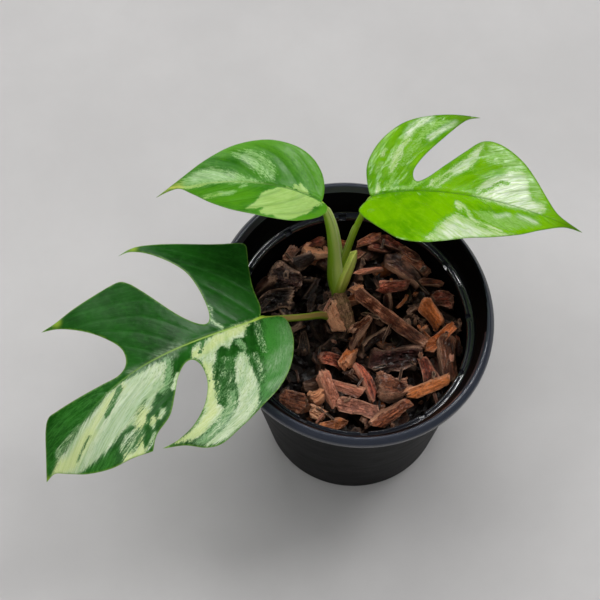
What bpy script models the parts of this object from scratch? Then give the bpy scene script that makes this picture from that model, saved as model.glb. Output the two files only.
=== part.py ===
"""Mini monstera (Rhaphidophora tetrasperma, variegated) in a black nursery pot of bark.

The pot stands on z = 0 with its axis on the Z axis, and the plant leans over its -X side. Lengths
below are in millimetres and angles in degrees; they become metres and radians where they are used.
"""

import math
import random

import bmesh
import bpy
from mathutils import Matrix, Vector

MM = 0.001
GAP = 0.3

# Nursery pot: a turned wall with a lip, a collar, an inner stacking shelf and a drained floor.
POT_HEIGHT = 102.7
POT_STEPS = 56
LIP_RADIUS = 60.0
MOUTH_RADIUS = 57.0
COLLAR_RADIUS = 58.5
NECK_RADIUS = 53.8
BASE_RADIUS = 39.9
FLOOR = 1.6
WALL_RADIUS = 50.6
WALL_TOP = 83.5
SHELF_HEIGHT = 89.0
SHELF_RADIUS = 49.2
SHELF_WALL_RADIUS = 52.2
POT_OVAL = 0.045
POT_OVAL_HEADING = -69
NOTCH_COUNT = 12
NOTCH_SIZE = (3.4, 2.6, 3.6)
DRAIN_COUNT = 8
DRAIN_RADIUS = 3.5
DRAIN_CIRCLE = 27.0

# The bark fills the pot up to this level, and its chips stand out of it.
BARK_LEVEL = 73.0
BARK_RADIUS = 47.5
FILLER_CHIPS = 80
CHIP_SEED = 12

# The larger chips that lie on top: centre x, y, length, width, heading, tilt.
TOP_CHIPS = (
    (-28, 30, 15, 12, -27, 12),
    (-13, 41, 14, 8, -4, 10),
    (-38, 28, 12, 5, 15, -20),
    (15, 44, 11, 7, 7, 14),
    (9, 31, 15, 3, 18, 4),
    (24, 30, 22, 8, -50, 5),
    (39, 25, 11, 4, -4, 0),
    (19, 22, 13, 6, -12, -8),
    (16, 7, 41, 6, -45, 2),
    (42, 16, 8, 8, -4, -12),
    (35, 8, 15, 6, -53, 20),
    (37, -4, 17, 6, 38, -8),
    (39, -13, 20, 8, -91, 6),
    (31, -27, 20, 5, 16, -8),
    (15, -27, 13, 10, -4, 12),
    (17, -12, 27, 12, 13, -6),
    (4, -23, 19, 4, -68, 4),
    (-5, -25, 19, 5, -25, -4),
    (-12, -26, 15, 6, -70, 8),
    (0, -35, 19, 6, -19, 2),
    (-11, -41, 12, 4, 19, 6),
    (-27, -30, 12, 8, -21, 10),
    (14, -38, 20, 6, 27, -8),
    (-10, -11, 7, 6, -4, 10),
    (3, 0, 20, 3, 60, 8),
    (9, -3, 18, 4, 37, -4),
)

# Stems: centre line points with the radius at each.
OLD_STEM = ((-6, 22, 73, 2.8), (-4.6, 17, 78.5, 3.0), (-3, 12, 79.5, 3.2), (-0.5, 4, 72, 2.6))
SHOOT = (
    (-7.5, 19, 62, 2.2),
    (-7.2, 20, 77, 3.3),
    (-6.4, 23.4, 86, 3.7),
    (-6, 26.4, 105, 2.9),
    (-7.2, 28, 121, 2.3),
    (-9.2, 29.4, 131.6, 1.7),
    (-12.6, 30.3, 135.3, 1.2),
)
RIGHT_STALK = (
    (-6, 22, 82, 2.2),
    (-3.4, 24.6, 95, 2.0),
    (-1.0, 25, 106, 1.8),
    (1.8, 25.4, 120, 1.8),
    (5.0, 27, 130, 1.7),
    (7.4, 29.3, 134.8, 1.6),
    (10.5, 29.9, 137.1, 1.2),
)
SHEATH = (
    (-6.4, 21, 79, 2.6),
    (-4, 23, 86, 2.9),
    (-1.2, 24.4, 93, 2.5),
    (1, 25.4, 98.5, 1.7),
    (2.6, 26, 102.5, 0.7),
)
LEFT_STALK = (
    (-8, 10.5, 71, 1.5),
    (-12.7, 7.8, 81, 1.6),
    (-20.5, 2.5, 90.5, 1.5),
    (-28.5, -1.2, 97.2, 1.5),
    (-36.4, -3.8, 102.2, 1.4),
    (-39.9, -6, 104.4, 1.1),
)

# Leaf blades. The outline is drawn flat, with x along the midrib from the stalk, as strokes that
# each start at a sharp point. The blade then arches along the midrib, whose line bends sideways,
# and folds up on each side of it: "fold" and "ease" are the slope and its easing to the +y side
# and to the -y side.
BLADE_THICKNESS = 0.8
BLADE_GRID = 5.0
LEFT_BLADE = {
    "at": (-38.5, -5, 106),
    "heading": 215,
    "pitch": -4,
    "length": 108.5,
    "arch": 13,
    "droop": 6,
    "bend": -9,
    "bend_power": 1.3,
    "fold": (0.50, 0.42),
    "ease": (0.006, 0.004),
    "groove": 5,
    "ripple": 1.2,
    "ripple_length": 46,
    "outline": (
        ((0, 0), (-3.5, -5), (-6, -13), (-10, -21), (-14.5, -28.5), (-16, -31.5), (-14.5, -33.5),
         (-8, -36.5), (3.5, -42), (16.5, -47), (25, -50.5)),
        ((31.5, -51.5), (26.5, -49.5), (20, -43), (14, -32.5), (13.5, -23), (16, -12.5),
         (19.5, -8.5), (23.5, -11), (28, -19), (33, -33.5), (35.5, -39.5), (38.5, -42.5),
         (46, -43.5), (58, -43.5), (68, -43.5)),
        ((75, -45), (68, -40), (60, -31.5), (55, -23), (54, -17.5), (56.5, -13), (61.5, -11.5),
         (69, -13), (80, -15.5), (89, -17.5), (93, -18), (97, -15), (103, -7.5)),
        ((108.5, -0.5), (104, 0), (100, 5), (94, 12.5), (86, 18.5), (77, 21.5)),
        ((69.5, 25), (64.5, 21), (56, 18.5), (49.5, 12.5), (43.5, 6), (37.5, 2), (34, 3),
         (33.5, 8.5), (36.5, 16.5), (43, 24), (51, 28.5), (59, 29)),
        ((66, 27), (59, 32.5), (53, 39.5), (46.5, 42), (36, 40), (25, 37), (14.5, 34.5),
         (6, 29.5), (-1, 22), (-6, 14), (-8.5, 6.5), (-7.5, 3), (-4, 1.5)),
    ),
}
MIDDLE_BLADE = {
    "at": (-11, 30, 137),
    "heading": 170,
    "pitch": -2,
    "length": 68,
    "arch": 8,
    "droop": 4,
    "bend": -2.6,
    "bend_power": 0.6,
    "fold": (0.62, 0.45),
    "ease": (0.008, 0.007),
    "groove": 4,
    "ripple": 0.8,
    "ripple_length": 40,
    "outline": (
        ((0, 0), (-0.5, -3), (-0.5, -7), (1, -12), (5, -17), (11, -20), (19, -21), (27, -20.5),
         (38, -17.5), (49, -11.5), (58, -5.5)),
        ((68.5, 1), (63, -0.5), (58, -0.5), (52, 3.5), (43, 10), (34, 14), (24, 15.5), (15, 16),
         (8, 15), (2, 11), (-2, 5.5), (-2.5, 2), (-1.5, 0)),
    ),
}
RIGHT_BLADE = {
    "at": (9, 30, 139),
    "heading": -12,
    "pitch": -2,
    "length": 86,
    "arch": 7,
    "droop": 4,
    "bend": 3.5,
    "bend_power": 0.6,
    "fold": (0.42, 0.60),
    "ease": (0.005, 0.008),
    "groove": 4,
    "ripple": 0.9,
    "ripple_length": 40,
    "outline": (
        ((0, 0), (-2, 5), (-3.5, 12), (-2.5, 18), (1.5, 25), (8.5, 31.5), (17.5, 35.5), (27, 37)),
        ((39, 36), (33, 34), (25, 25.5), (18.5, 17.5), (15.5, 11.5), (17, 7.5), (21, 9), (28, 15),
         (35, 21), (40.5, 25.5), (45.5, 26.5), (52, 25), (59, 21), (65, 15), (70.5, 8.5),
         (76, 3.5)),
        ((86, 0), (78, -1), (69, -6.5), (60, -13), (50, -17.5), (40, -20), (30, -23.5),
         (22, -25.5), (14, -24.5), (6.5, -19), (0.5, -13.5), (-3.5, -8.5), (-3.5, -5.5),
         (-2, -2.5)),
    ),
}

# Material: colour, roughness.
BLACK_PLASTIC = ((0.012, 0.012, 0.014), 0.45)
BARK = ((0.16, 0.065, 0.035), 0.85)
DRY_STEM = ((0.13, 0.085, 0.045), 0.8)
GREEN_STEM = ((0.12, 0.26, 0.03), 0.45)
OLIVE_STALK = ((0.16, 0.18, 0.04), 0.5)
DARK_LEAF = ((0.03, 0.15, 0.02), 0.35)
MID_LEAF = ((0.08, 0.32, 0.05), 0.35)
LIME_LEAF = ((0.2, 0.5, 0.01), 0.3)


def clear_scene():
    for obj in list(bpy.data.objects):
        bpy.data.objects.remove(obj)


def new_collection(name):
    collection = bpy.data.collections.new(name)
    bpy.context.scene.collection.children.link(collection)
    return collection


def material(name, colour, roughness):
    made = bpy.data.materials.new(name)
    made.use_nodes = True
    shader = made.node_tree.nodes["Principled BSDF"]
    shader.inputs["Base Color"].default_value = (*colour, 1)
    shader.inputs["Roughness"].default_value = roughness
    shader.inputs["Metallic"].default_value = 0
    return made


def new_object(name, data, collection, finish=None):
    obj = bpy.data.objects.new(name, data)
    collection.objects.link(obj)
    if finish:
        data.materials.clear()
        data.materials.append(material(name, *finish))
    return obj


def freeze(obj):
    """Replaces an object's mesh by what its modifiers make of it."""
    bpy.context.view_layer.update()
    graph = bpy.context.evaluated_depsgraph_get()
    made = bpy.data.meshes.new_from_object(obj.evaluated_get(graph))
    obj.modifiers.clear()
    obj.data = made


def keep_largest_shell(obj):
    """Drops loose scraps and the walls of sealed hollows, which fills them."""
    mesh = bmesh.new()
    mesh.from_mesh(obj.data)
    left = set(mesh.faces)
    shells = []
    while left:
        first = left.pop()
        shell = [first]
        reached = [first]
        while reached:
            face = reached.pop()
            near = {other for edge in face.edges for other in edge.link_faces} & left
            left -= near
            shell += near
            reached += near
        shells.append(shell)
    largest = set(max(shells, key=len))
    loose = [face for face in mesh.faces if face not in largest]
    bmesh.ops.delete(mesh, geom=loose, context="FACES")
    mesh.to_mesh(obj.data)
    mesh.free()


def add_boolean(obj, operation, other, solver="EXACT"):
    cut = obj.modifiers.new(operation.lower(), "BOOLEAN")
    cut.operation = operation
    cut.solver = solver
    if isinstance(other, bpy.types.Collection):
        cut.operand_type = "COLLECTION"
        cut.collection = other
    else:
        cut.object = other


def turned(name, profile, collection, finish=None):
    """A solid turned about Z from (radius, height) points, down its outer side."""
    mesh = bpy.data.meshes.new(name)
    points = [(radius * MM, 0, height * MM) for radius, height in profile]
    mesh.from_pydata(points, [(i, i + 1) for i in range(len(points) - 1)], [])
    obj = new_object(name, mesh, collection, finish)
    screw = obj.modifiers.new("turn", "SCREW")
    screw.steps = POT_STEPS
    screw.render_steps = POT_STEPS
    screw.use_merge_vertices = True
    screw.merge_threshold = 0.0001
    freeze(obj)
    return obj


def pressed_oval(obj):
    """The soft pot is a little oval at its mouth and round at its base."""
    turn = Matrix.Rotation(math.radians(POT_OVAL_HEADING), 3, "Z")
    for vertex in obj.data.vertices:
        squeeze = POT_OVAL * vertex.co.z / (POT_HEIGHT * MM)
        wide = Matrix.Diagonal((1 + squeeze, 1 - squeeze, 1))
        vertex.co = turn @ wide @ turn.inverted() @ vertex.co


def pot(parts, cutters):
    outside = [
        (MOUTH_RADIUS, POT_HEIGHT),
        (MOUTH_RADIUS + 1.2, POT_HEIGHT),
        (LIP_RADIUS - 0.3, 101.0),
        (LIP_RADIUS, 100.4),
        (LIP_RADIUS, 98.4),
        (COLLAR_RADIUS, 98.1),
        (COLLAR_RADIUS - 0.2, 94.4),
        (COLLAR_RADIUS - 0.8, 93.9),
        (NECK_RADIUS + 0.6, 93.7),
        (NECK_RADIUS, 92.9),
        (BASE_RADIUS, 1.4),
        (BASE_RADIUS - 1.3, 0),
        (0, 0),
    ]
    inside = [
        (0, FLOOR),
        (BASE_RADIUS - 3.4, FLOOR),
        (BASE_RADIUS - 1.7, FLOOR + 1.6),
        (WALL_RADIUS, WALL_TOP),
        (SHELF_RADIUS, SHELF_HEIGHT - 1.8),
        (SHELF_RADIUS, SHELF_HEIGHT),
        (SHELF_WALL_RADIUS, SHELF_HEIGHT),
        (52.9, 94.0),
        (56.0, 100.0),
    ]
    obj = turned("pot", inside + outside, parts, BLACK_PLASTIC)
    for i in range(NOTCH_COUNT):
        angle = 2 * math.pi * i / NOTCH_COUNT
        add_block(cutters, "shelf_notch", NOTCH_SIZE, (SHELF_RADIUS + 0.8, 0, SHELF_HEIGHT), angle)
    for i in range(DRAIN_COUNT):
        angle = 2 * math.pi * (i + 0.5) / DRAIN_COUNT
        add_drain(cutters, angle)
    add_boolean(obj, "DIFFERENCE", cutters)
    freeze(obj)
    pressed_oval(obj)


def add_block(collection, name, size, at, turn):
    mesh = bpy.data.meshes.new(name)
    grid = bmesh.new()
    bmesh.ops.create_cube(grid, size=1)
    place = Matrix.Rotation(turn, 4, "Z") @ Matrix.Translation(Vector(at) * MM)
    place = place @ Matrix.Diagonal((size[1] * MM, size[0] * MM, size[2] * MM, 1))
    grid.transform(place)
    grid.to_mesh(mesh)
    grid.free()
    return new_object(name, mesh, collection)


def add_drain(collection, turn):
    mesh = bpy.data.meshes.new("drain_hole")
    grid = bmesh.new()
    radius = DRAIN_RADIUS * MM
    depth = 4 * FLOOR * MM
    bmesh.ops.create_cone(
        grid, cap_ends=True, segments=16, radius1=radius, radius2=radius, depth=depth
    )
    grid.transform(Matrix.Rotation(turn, 4, "Z") @ Matrix.Translation((DRAIN_CIRCLE * MM, 0, 0)))
    grid.to_mesh(mesh)
    grid.free()
    return new_object("drain_hole", mesh, collection)


def pot_room(cutters):
    """The space inside the pot that the bark may take, clear of its wall and its shelf."""
    room = turned(
        "pot_room",
        [
            (0, SHELF_HEIGHT + 7),
            (SHELF_RADIUS - GAP, SHELF_HEIGHT + 7),
            (SHELF_RADIUS - GAP, SHELF_HEIGHT - 2.1),
            (WALL_RADIUS - GAP, WALL_TOP - 0.5),
            (BASE_RADIUS - 1.7 - GAP, FLOOR + 1.9),
            (BASE_RADIUS - 3.6, FLOOR + GAP),
            (0, FLOOR + GAP),
        ],
        cutters,
    )
    pressed_oval(room)
    return room


def add_chip(collection, draw, at, size, heading, tilt, roll):
    """One bark chip: a block with uneven, narrowed ends."""
    mesh = bpy.data.meshes.new("chip")
    block = bmesh.new()
    bmesh.ops.create_cube(block, size=1)
    for corner in block.verts:
        corner.co.x *= draw.uniform(0.8, 1.1)
        corner.co.y *= draw.uniform(0.45, 1.05)
        corner.co.z *= draw.uniform(0.5, 1.1)
    bmesh.ops.triangulate(block, faces=block.faces)
    turn = Matrix.Rotation(math.radians(heading), 4, "Z")
    turn = turn @ Matrix.Rotation(math.radians(tilt), 4, "Y")
    turn = turn @ Matrix.Rotation(math.radians(roll), 4, "X")
    scale = Matrix.Diagonal((*(Vector(size) * MM), 1))
    block.transform(Matrix.Translation(Vector(at) * MM) @ turn @ scale)
    block.to_mesh(mesh)
    block.free()
    return new_object("chip", mesh, collection)


def bark(parts, cutters):
    """The potting bark: one bed whose chips are fused where they touch."""
    draw = random.Random(CHIP_SEED)
    bed = turned(
        "bark",
        [
            (0, BARK_LEVEL),
            (BARK_RADIUS, BARK_LEVEL),
            (BASE_RADIUS - 2.2, FLOOR + 2),
            (BASE_RADIUS - 4, FLOOR + GAP + 0.1),
            (0, FLOOR + GAP + 0.1),
        ],
        parts,
        BARK,
    )
    pressed_oval(bed)
    chips = new_collection("chips")
    for i in range(FILLER_CHIPS):
        reach = 46 * math.sqrt((i + 0.5) / FILLER_CHIPS)
        angle = math.radians(137.5 * i)
        at = (reach * math.cos(angle), reach * math.sin(angle), BARK_LEVEL + draw.uniform(0, 3.5))
        size = (draw.uniform(9, 19), draw.uniform(4.5, 9), draw.uniform(3, 5))
        add_chip(
            chips, draw, at, size, draw.uniform(0, 180), draw.gauss(0, 14), draw.gauss(0, 18)
        )
    for x, y, length, width, heading, tilt in TOP_CHIPS:
        thick = 2.2 + 0.25 * width
        at = (x, y, BARK_LEVEL + 5)
        add_chip(chips, draw, at, (length, width, thick), heading, tilt, draw.gauss(0, 10))
    add_boolean(bed, "UNION", chips, "MANIFOLD")
    freeze(bed)
    for chip in list(chips.objects):
        bpy.data.objects.remove(chip)
    bpy.data.collections.remove(chips)
    add_boolean(bed, "INTERSECT", pot_room(cutters), "MANIFOLD")
    freeze(bed)
    return bed


def tube(name, path, collection, wider=0.0):
    """A round stem along a smooth line through (x, y, z, radius) points, as a closed mesh."""
    curve = bpy.data.curves.new(name, "CURVE")
    curve.dimensions = "3D"
    curve.bevel_depth = MM
    curve.bevel_resolution = 2
    curve.resolution_u = 4
    curve.use_fill_caps = True
    spline = curve.splines.new("BEZIER")
    spline.bezier_points.add(len(path) - 1)
    for point, (x, y, z, radius) in zip(spline.bezier_points, path):
        point.co = Vector((x, y, z)) * MM
        point.radius = radius + wider
        point.handle_left_type = "AUTO"
        point.handle_right_type = "AUTO"
    source = bpy.data.objects.new(name, curve)
    collection.objects.link(source)
    bpy.context.view_layer.update()
    graph = bpy.context.evaluated_depsgraph_get()
    mesh = bpy.data.meshes.new_from_object(source.evaluated_get(graph))
    bpy.data.objects.remove(source)
    weld = bmesh.new()
    weld.from_mesh(mesh)
    bmesh.ops.remove_doubles(weld, verts=weld.verts, dist=1e-6)
    bmesh.ops.recalc_face_normals(weld, faces=weld.faces)
    weld.to_mesh(mesh)
    weld.free()
    return new_object(name, mesh, collection)


def stem(name, paths, parts, finish):
    """A stem grown as one piece from one or more tubes."""
    branches = new_collection(name + "_branches")
    obj = tube(name, paths[0], parts)
    for path in paths[1:]:
        tube("branch", path, branches)
    if len(paths) > 1:
        add_boolean(obj, "UNION", branches)
        freeze(obj)
    for branch in list(branches.objects):
        bpy.data.objects.remove(branch)
    bpy.data.collections.remove(branches)
    obj.data.materials.clear()
    obj.data.materials.append(material(name, *finish))
    return obj


def stems(parts, bed):
    """The stems stand in plain holes in the bark, and the old stem is cut clear of the shoot."""
    shoot_paths = (SHOOT, RIGHT_STALK, SHEATH)
    holes = new_collection("stem_holes")
    for path in shoot_paths + (LEFT_STALK,):
        tube("stem_hole", path, holes, wider=GAP + 0.1)
    old = stem("old_stem", (OLD_STEM,), parts, DRY_STEM)
    add_boolean(old, "DIFFERENCE", holes)
    freeze(old)
    tube("old_stem_hole", OLD_STEM, holes, wider=GAP + 0.1)
    add_boolean(bed, "DIFFERENCE", holes, "MANIFOLD")
    freeze(bed)
    keep_largest_shell(bed)
    for hole in list(holes.objects):
        bpy.data.objects.remove(hole)
    bpy.data.collections.remove(holes)
    stem("shoot", shoot_paths, parts, GREEN_STEM)
    stem("left_stalk", (LEFT_STALK,), parts, OLIVE_STALK)


def smooth(stroke, end, steps):
    """Points on a smooth curve through a stroke's points and on to end, which is left out."""
    points = [Vector(point) for point in stroke + (end,)]
    points = [2 * points[0] - points[1], *points, 2 * points[-1] - points[-2]]
    found = []
    for a, b, c, d in zip(points, points[1:], points[2:], points[3:]):
        for i in range(steps):
            t = i / steps
            bow = 2 * a - 5 * b + 4 * c - d
            found.append((2 * b + (c - a) * t + bow * t * t + (3 * b - a - 3 * c + d) * t**3) / 2)
    return found


def height(leaf, x, y):
    """How far the blade stands off its flat outline at (x, y)."""
    along = x / leaf["length"]
    bend = leaf["bend"] * math.sin(math.pi * min(max(along, 0), 1) ** leaf["bend_power"])
    across = y - bend
    side = 0 if across > 0 else 1
    groove = leaf["groove"]
    fold = leaf["fold"][side] * (math.hypot(across, groove) - groove)
    fold -= leaf["ease"][side] * across * across
    fold *= 1 - 0.35 * min(max(along, 0), 1) ** 2
    arch = 4 * leaf["arch"] * along * (1 - along) - leaf["droop"] * max(along, 0) ** 3
    wave = math.sin(2 * math.pi * x / leaf["ripple_length"] + math.copysign(1.2, across))
    return arch + fold + leaf["ripple"] * wave * min(abs(across) / 30, 1.5) ** 1.5


def blade(name, leaf, parts, finish):
    """A leaf blade cut to its outline, bent, and thickened alike on both faces."""
    strokes = leaf["outline"]
    outline = []
    for stroke, after in zip(strokes, strokes[1:] + strokes[:1]):
        outline += smooth(stroke, after[0], 3)
    sheet = bmesh.new()
    sheet.faces.new([sheet.verts.new((x, y, 0)) for x, y in outline])
    for axis in (0, 1):
        values = [point[axis] for point in outline]
        line = BLADE_GRID * math.ceil(min(values) / BLADE_GRID)
        while line < max(values):
            at = [0, 0, 0]
            at[axis] = line + 0.01
            across = [0, 0, 0]
            across[axis] = 1
            everything = sheet.verts[:] + sheet.edges[:] + sheet.faces[:]
            bmesh.ops.bisect_plane(
                sheet, geom=everything, plane_co=at, plane_no=across, dist=0.02
            )
            line += BLADE_GRID
    bmesh.ops.triangulate(sheet, faces=sheet.faces)
    for vertex in sheet.verts:
        vertex.co.z = height(leaf, vertex.co.x, vertex.co.y)
    bmesh.ops.recalc_face_normals(sheet, faces=sheet.faces)
    sheet.transform(Matrix.Scale(MM, 4))
    mesh = bpy.data.meshes.new(name)
    sheet.to_mesh(mesh)
    sheet.free()
    obj = new_object(name, mesh, parts, finish)
    turn = Matrix.Rotation(math.radians(leaf["heading"]), 4, "Z")
    turn = turn @ Matrix.Rotation(math.radians(-leaf["pitch"]), 4, "Y")
    obj.matrix_world = Matrix.Translation(Vector(leaf["at"]) * MM) @ turn
    thicken = obj.modifiers.new("thickness", "SOLIDIFY")
    thicken.thickness = BLADE_THICKNESS * MM
    thicken.offset = 0
    return obj


def main():
    clear_scene()
    parts = new_collection("mini_monstera")
    cutters = new_collection("cutters")
    cutters.hide_render = True
    pot(parts, cutters)
    bed = bark(parts, cutters)
    stems(parts, bed)
    blade("left_blade", LEFT_BLADE, parts, DARK_LEAF)
    blade("middle_blade", MIDDLE_BLADE, parts, MID_LEAF)
    blade("right_blade", RIGHT_BLADE, parts, LIME_LEAF)
    for cutter in cutters.objects:
        cutter.hide_render = True
        cutter.display_type = "WIRE"


main()
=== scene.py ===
"""Looks of a potted mini monstera (Rhaphidophora tetrasperma, variegated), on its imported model.

Lengths are in millimetres and angles in degrees until a mesh is made; colours are sRGB, 0 to 255.
Long lists of points are text: a word is one point, x,y or x,y,z,radius, and a slash parts lines.
"""

import math
import random

import bmesh
import bpy
import numpy as np
from mathutils import Matrix, Vector, geometry


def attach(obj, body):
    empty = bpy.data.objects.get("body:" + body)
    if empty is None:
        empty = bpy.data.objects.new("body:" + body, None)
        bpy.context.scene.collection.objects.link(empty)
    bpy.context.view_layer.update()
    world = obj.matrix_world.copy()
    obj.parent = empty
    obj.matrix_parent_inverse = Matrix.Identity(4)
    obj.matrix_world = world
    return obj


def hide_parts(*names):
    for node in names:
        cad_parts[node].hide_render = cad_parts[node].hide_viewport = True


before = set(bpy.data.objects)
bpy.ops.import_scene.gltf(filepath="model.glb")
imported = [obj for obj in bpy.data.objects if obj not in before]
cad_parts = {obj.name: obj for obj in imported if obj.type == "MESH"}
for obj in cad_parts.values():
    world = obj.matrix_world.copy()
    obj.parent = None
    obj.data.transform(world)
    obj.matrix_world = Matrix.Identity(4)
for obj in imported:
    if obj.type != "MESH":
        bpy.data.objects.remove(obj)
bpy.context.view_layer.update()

MM = 0.001


def points_in(text):
    return [tuple(map(float, word.split(","))) for word in text.split()]


def lines_in(text):
    return [points_in(line) for line in text.split("/")]


def patches_in(text):
    """Rows of field, raggedness, most, half width (0 for a closed outline) and points."""
    rows = [line.split() for line in text.split("/")]
    return [(row[0], *map(float, row[1:4]), points_in(" ".join(row[4:]))) for row in rows]


def looks_in(text):
    """A look for each blade, from rows of a name and each blade's number or numbers."""
    looks = {}, {}, {}
    for row in text.strip().splitlines():
        name, *values = row.split()
        for look, value in zip(looks, values):
            numbers = points_in(value)[0]
            look[name] = numbers if len(numbers) > 1 else numbers[0]
    return looks


# Camera: a long lens that looks down at the pot, level but for a slight roll.
CAMERA_AT = (-21.8, -307.9, 689.8)
CAMERA_DOWN = 62.0
CAMERA_ROLL = -3.18
CAMERA_LENS = 96.0
SENSOR = 36.0

# Soft lights over the pot: name, place, size, watts, and whether one lights surfaces or glints.
LIGHTS = (
    ("right", (900, 300, 2000), (520, 520), 8.5, "lit"),
    ("left", (-1000, 300, 2000), (900, 700), 7, "lit"),
    ("back", (0, 1200, 2000), (1400, 800), 17.5, "lit"),
    ("above", (0, -200, 2200), (1800, 1400), 16.5, "lit"),
    ("front", (-250, -1500, 1700), (900, 500), 4, "lit"),
    ("right_window", (900, 300, 2000), (520, 520), 20, "glint"),
    ("left_window", (-1250, 1000, 2000), (1300, 500), 13, "glint"),
    ("high_window", (265, 950, 2000), (150, 150), 3.7, "glint"),
)
LIT_POINT = (0, 0, 90)
FLOOR_REACH = 2500

# Nursery pot, as in the CAD: the profile's driving radii and heights.
POT_HEIGHT = 102.7
POT_STEPS = 168
LIP_RADIUS = 60.0
MOUTH_RADIUS = 57.0
COLLAR_RADIUS = 58.5
NECK_RADIUS = 53.8
BASE_RADIUS = 39.9
FLOOR = 1.6
WALL_RADIUS = 50.6
WALL_TOP = 83.5
SHELF_HEIGHT = 89.0
SHELF_RADIUS = 49.2
SHELF_WALL_RADIUS = 52.2
POT_OVAL = 0.045
POT_OVAL_HEADING = -69
NOTCH_COUNT = 12
NOTCH_SIZE = (2.6, 3.4, 3.6)
DRAIN_COUNT = 8
DRAIN_RADIUS = 3.5
DRAIN_CIRCLE = 27.0
POT_BEVEL = 0.12
POT_SHARP = 38

# Bark: a dark bed with loose chips dropped on it one after another.
BED_TOP = 66.0
BED_RADIUS = 48.0
CHIP_SEED = 7
DEEP_CHIPS = 130
DEEP_LIMIT = 77.0
MIDDLE_CHIPS = 85
MIDDLE_LIMIT = 80.0
TOP_LIMIT = 82.8
SLIVERS = 80
CRUMBS = 300
CHIP_CIRCLE = 47
CRUMB_CIRCLE = 48
BARK_SHARP = 32
# The height under which each piece gets painted shade, and how far round a point
#  the painted shade between chips is felt.
SHADED_BELOW = {"bark_deep": 80, "bark_middle": 78.5, "bark_top": 77, "bark_bits": 80}
SHELTER_REACH = 5.2

# Each tone's colour, its strength, and how much of its dark crust and painted shade is gone, from 0
# to 1.
BARK_TONES = {
    "purple": ((104, 56, 56), 0.6, 0),
    "dark": ((66, 34, 26), 0.5, 0),
    "brown": ((140, 82, 54), 1, 0),
    "red": ((176, 90, 66), 1, 0),
    "orange": ((236, 138, 72), 1.25, 0.6),
    "pink": ((230, 152, 124), 1.5, 0.6),
    "grey": ((148, 100, 78), 1.05, 0),
    "tan": ((236, 172, 130), 1.8, 1),
    "cork": ((252, 184, 140), 2.2, 1),
}
DEEP_TONES = "dark dark brown brown purple red grey brown orange red".split()
BIT_TONES = "brown dark grey red pink dark brown purple orange".split()
# Where the bark is painted darker: x, y, reach and depth. The first is painted shadow under the
# middle
#  leaf; lower chips are darkened by all of them, top chips by the first only.
DARKENED_SPOTS = (
    (-30, 20, 21, 0.96), (-20, -9, 11, 0.8), (2, 8, 9, 0.7), (28, -37, 10, 0.8), (8, -24, 7, 0.6),
)

# The chips on top, lowest first: x, y, length, width, thickness, heading, tilt, roll, tone.
TOP_CHIPS = """
    -28 30 15 12 7 -27 14 12 purple
    -33 19 15 11 6 8 -6 10 dark
    -13 41 14 8 4 -4 10 -12 cork
    -38 28 12 5 4 15 -20 0 brown
    -20 36 12 6 3 20 8 14 dark
    15 44 11 7 4 7 14 10 red
    9 31 15 2.4 2 18 4 0 pink
    2 37 14 6 3 30 8 8 brown
    24 30 22 8 3.5 -50 5 -10 grey
    30 33 14 6 3 -42 4 8 brown
    39 25 11 4 3 -4 0 6 brown
    19 22 13 6 3 -12 -8 12 red
    42 16 8 8 4 -4 -12 14 red
    3 0 20 3.2 3 60 8 -20 brown
    9 -3 18 4 3 37 -4 24 dark
    17 -12 27 12.5 7 13 -6 14 purple
    16 7 41 6.5 3.2 -45 2 12 grey
    35 8 15 6.4 3 -53 16 14 orange
    39 -13 20 8.5 3.5 -91 6 -10 brown
    37 -4 17 6.4 3 38 -8 12 orange
    31 -20 14 7 3 -70 4 10 red
    15 -27 13 10 5 -4 12 -12 brown
    31 -27 21 5 3 16 -8 14 orange
    4 -23 19 4.2 3 -68 4 -16 red
    -10 -11 9 7 5 -4 10 12 red
    -3 -12 8 5 5 60 12 -12 orange
    -5 -25 19 4.8 3 -25 -4 16 pink
    -12 -26 15 6 3.4 -70 8 -14 pink
    0 -35 19 5.8 3 -19 2 12 pink
    -27 -30 12 8.3 4 -21 10 10 brown
    -17 -29 6 6 4.5 10 0 0 tan
    -17 -36 6 6 4.5 -30 0 8 tan
    14 -38 20 6 3.4 27 -8 18 brown
    -11 -41 12.6 4.3 3 19 6 14 orange
    -30 -40 13 2.2 2.4 -34 0 0 brown
    3 21 5 3.4 3 10 8 0 cork
    -9 14 9 6 4 20 0 10 dark
    3.5 3 10 5 3 35 10 10 brown
    -6.8 8.6 11 9 6 -58 14 6 cork
    -15 46 11 6 4 12 -6 6 red
    -25 40 9 6 4 60 4 6 grey
    10 46 12 6 3 18 4 8 brown
    21 44 13 6 4 -24 4 6 red
    -4 47 9 5 3 -30 4 6 orange
    29 39 10 5 3 -40 4 6 brown
"""

# Stems: centre line points with the radius at each, up to where each meets its blade.
OLD_STEM = points_in("-6,22,73,2.8 -4.6,17,78.5,3 -3,12,79.5,3.2 -0.5,4,72,2.6")
SHOOT = points_in(
    "-5.5,19,64,1.6 -5.4,20,77,2.7 -5.8,23.2,86,3.8 -6,26.4,105,3 -7.2,28,121,2.4 "
    "-9.2,29.4,131.6,1.8"
)
RIGHT_STALK = points_in(
    "-6,22,82,2.2 -3.4,24.6,95,1.8 -1,25,106,1.65 1.8,25.4,120,1.6 5,27,130,1.45 7.4,29.3,134.8,1.4"
)
SHEATH = points_in(
    "-4.8,20,75,2.2 -4.3,21.9,84,4.3 -1.8,23.8,92.5,4.2 0.6,25,98.5,3.2 2.1,25.5,101.4,1.7 "
    "3.2,25.9,103.4,0.35"
)
LEFT_STALK = points_in(
    "-8,10.5,71,1.5 -12.7,7.8,81,1.6 -20.5,2.5,90.5,1.5 -28.5,-1.2,97.2,1.5 -36,-3.9,102.4,1.5"
)
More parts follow.
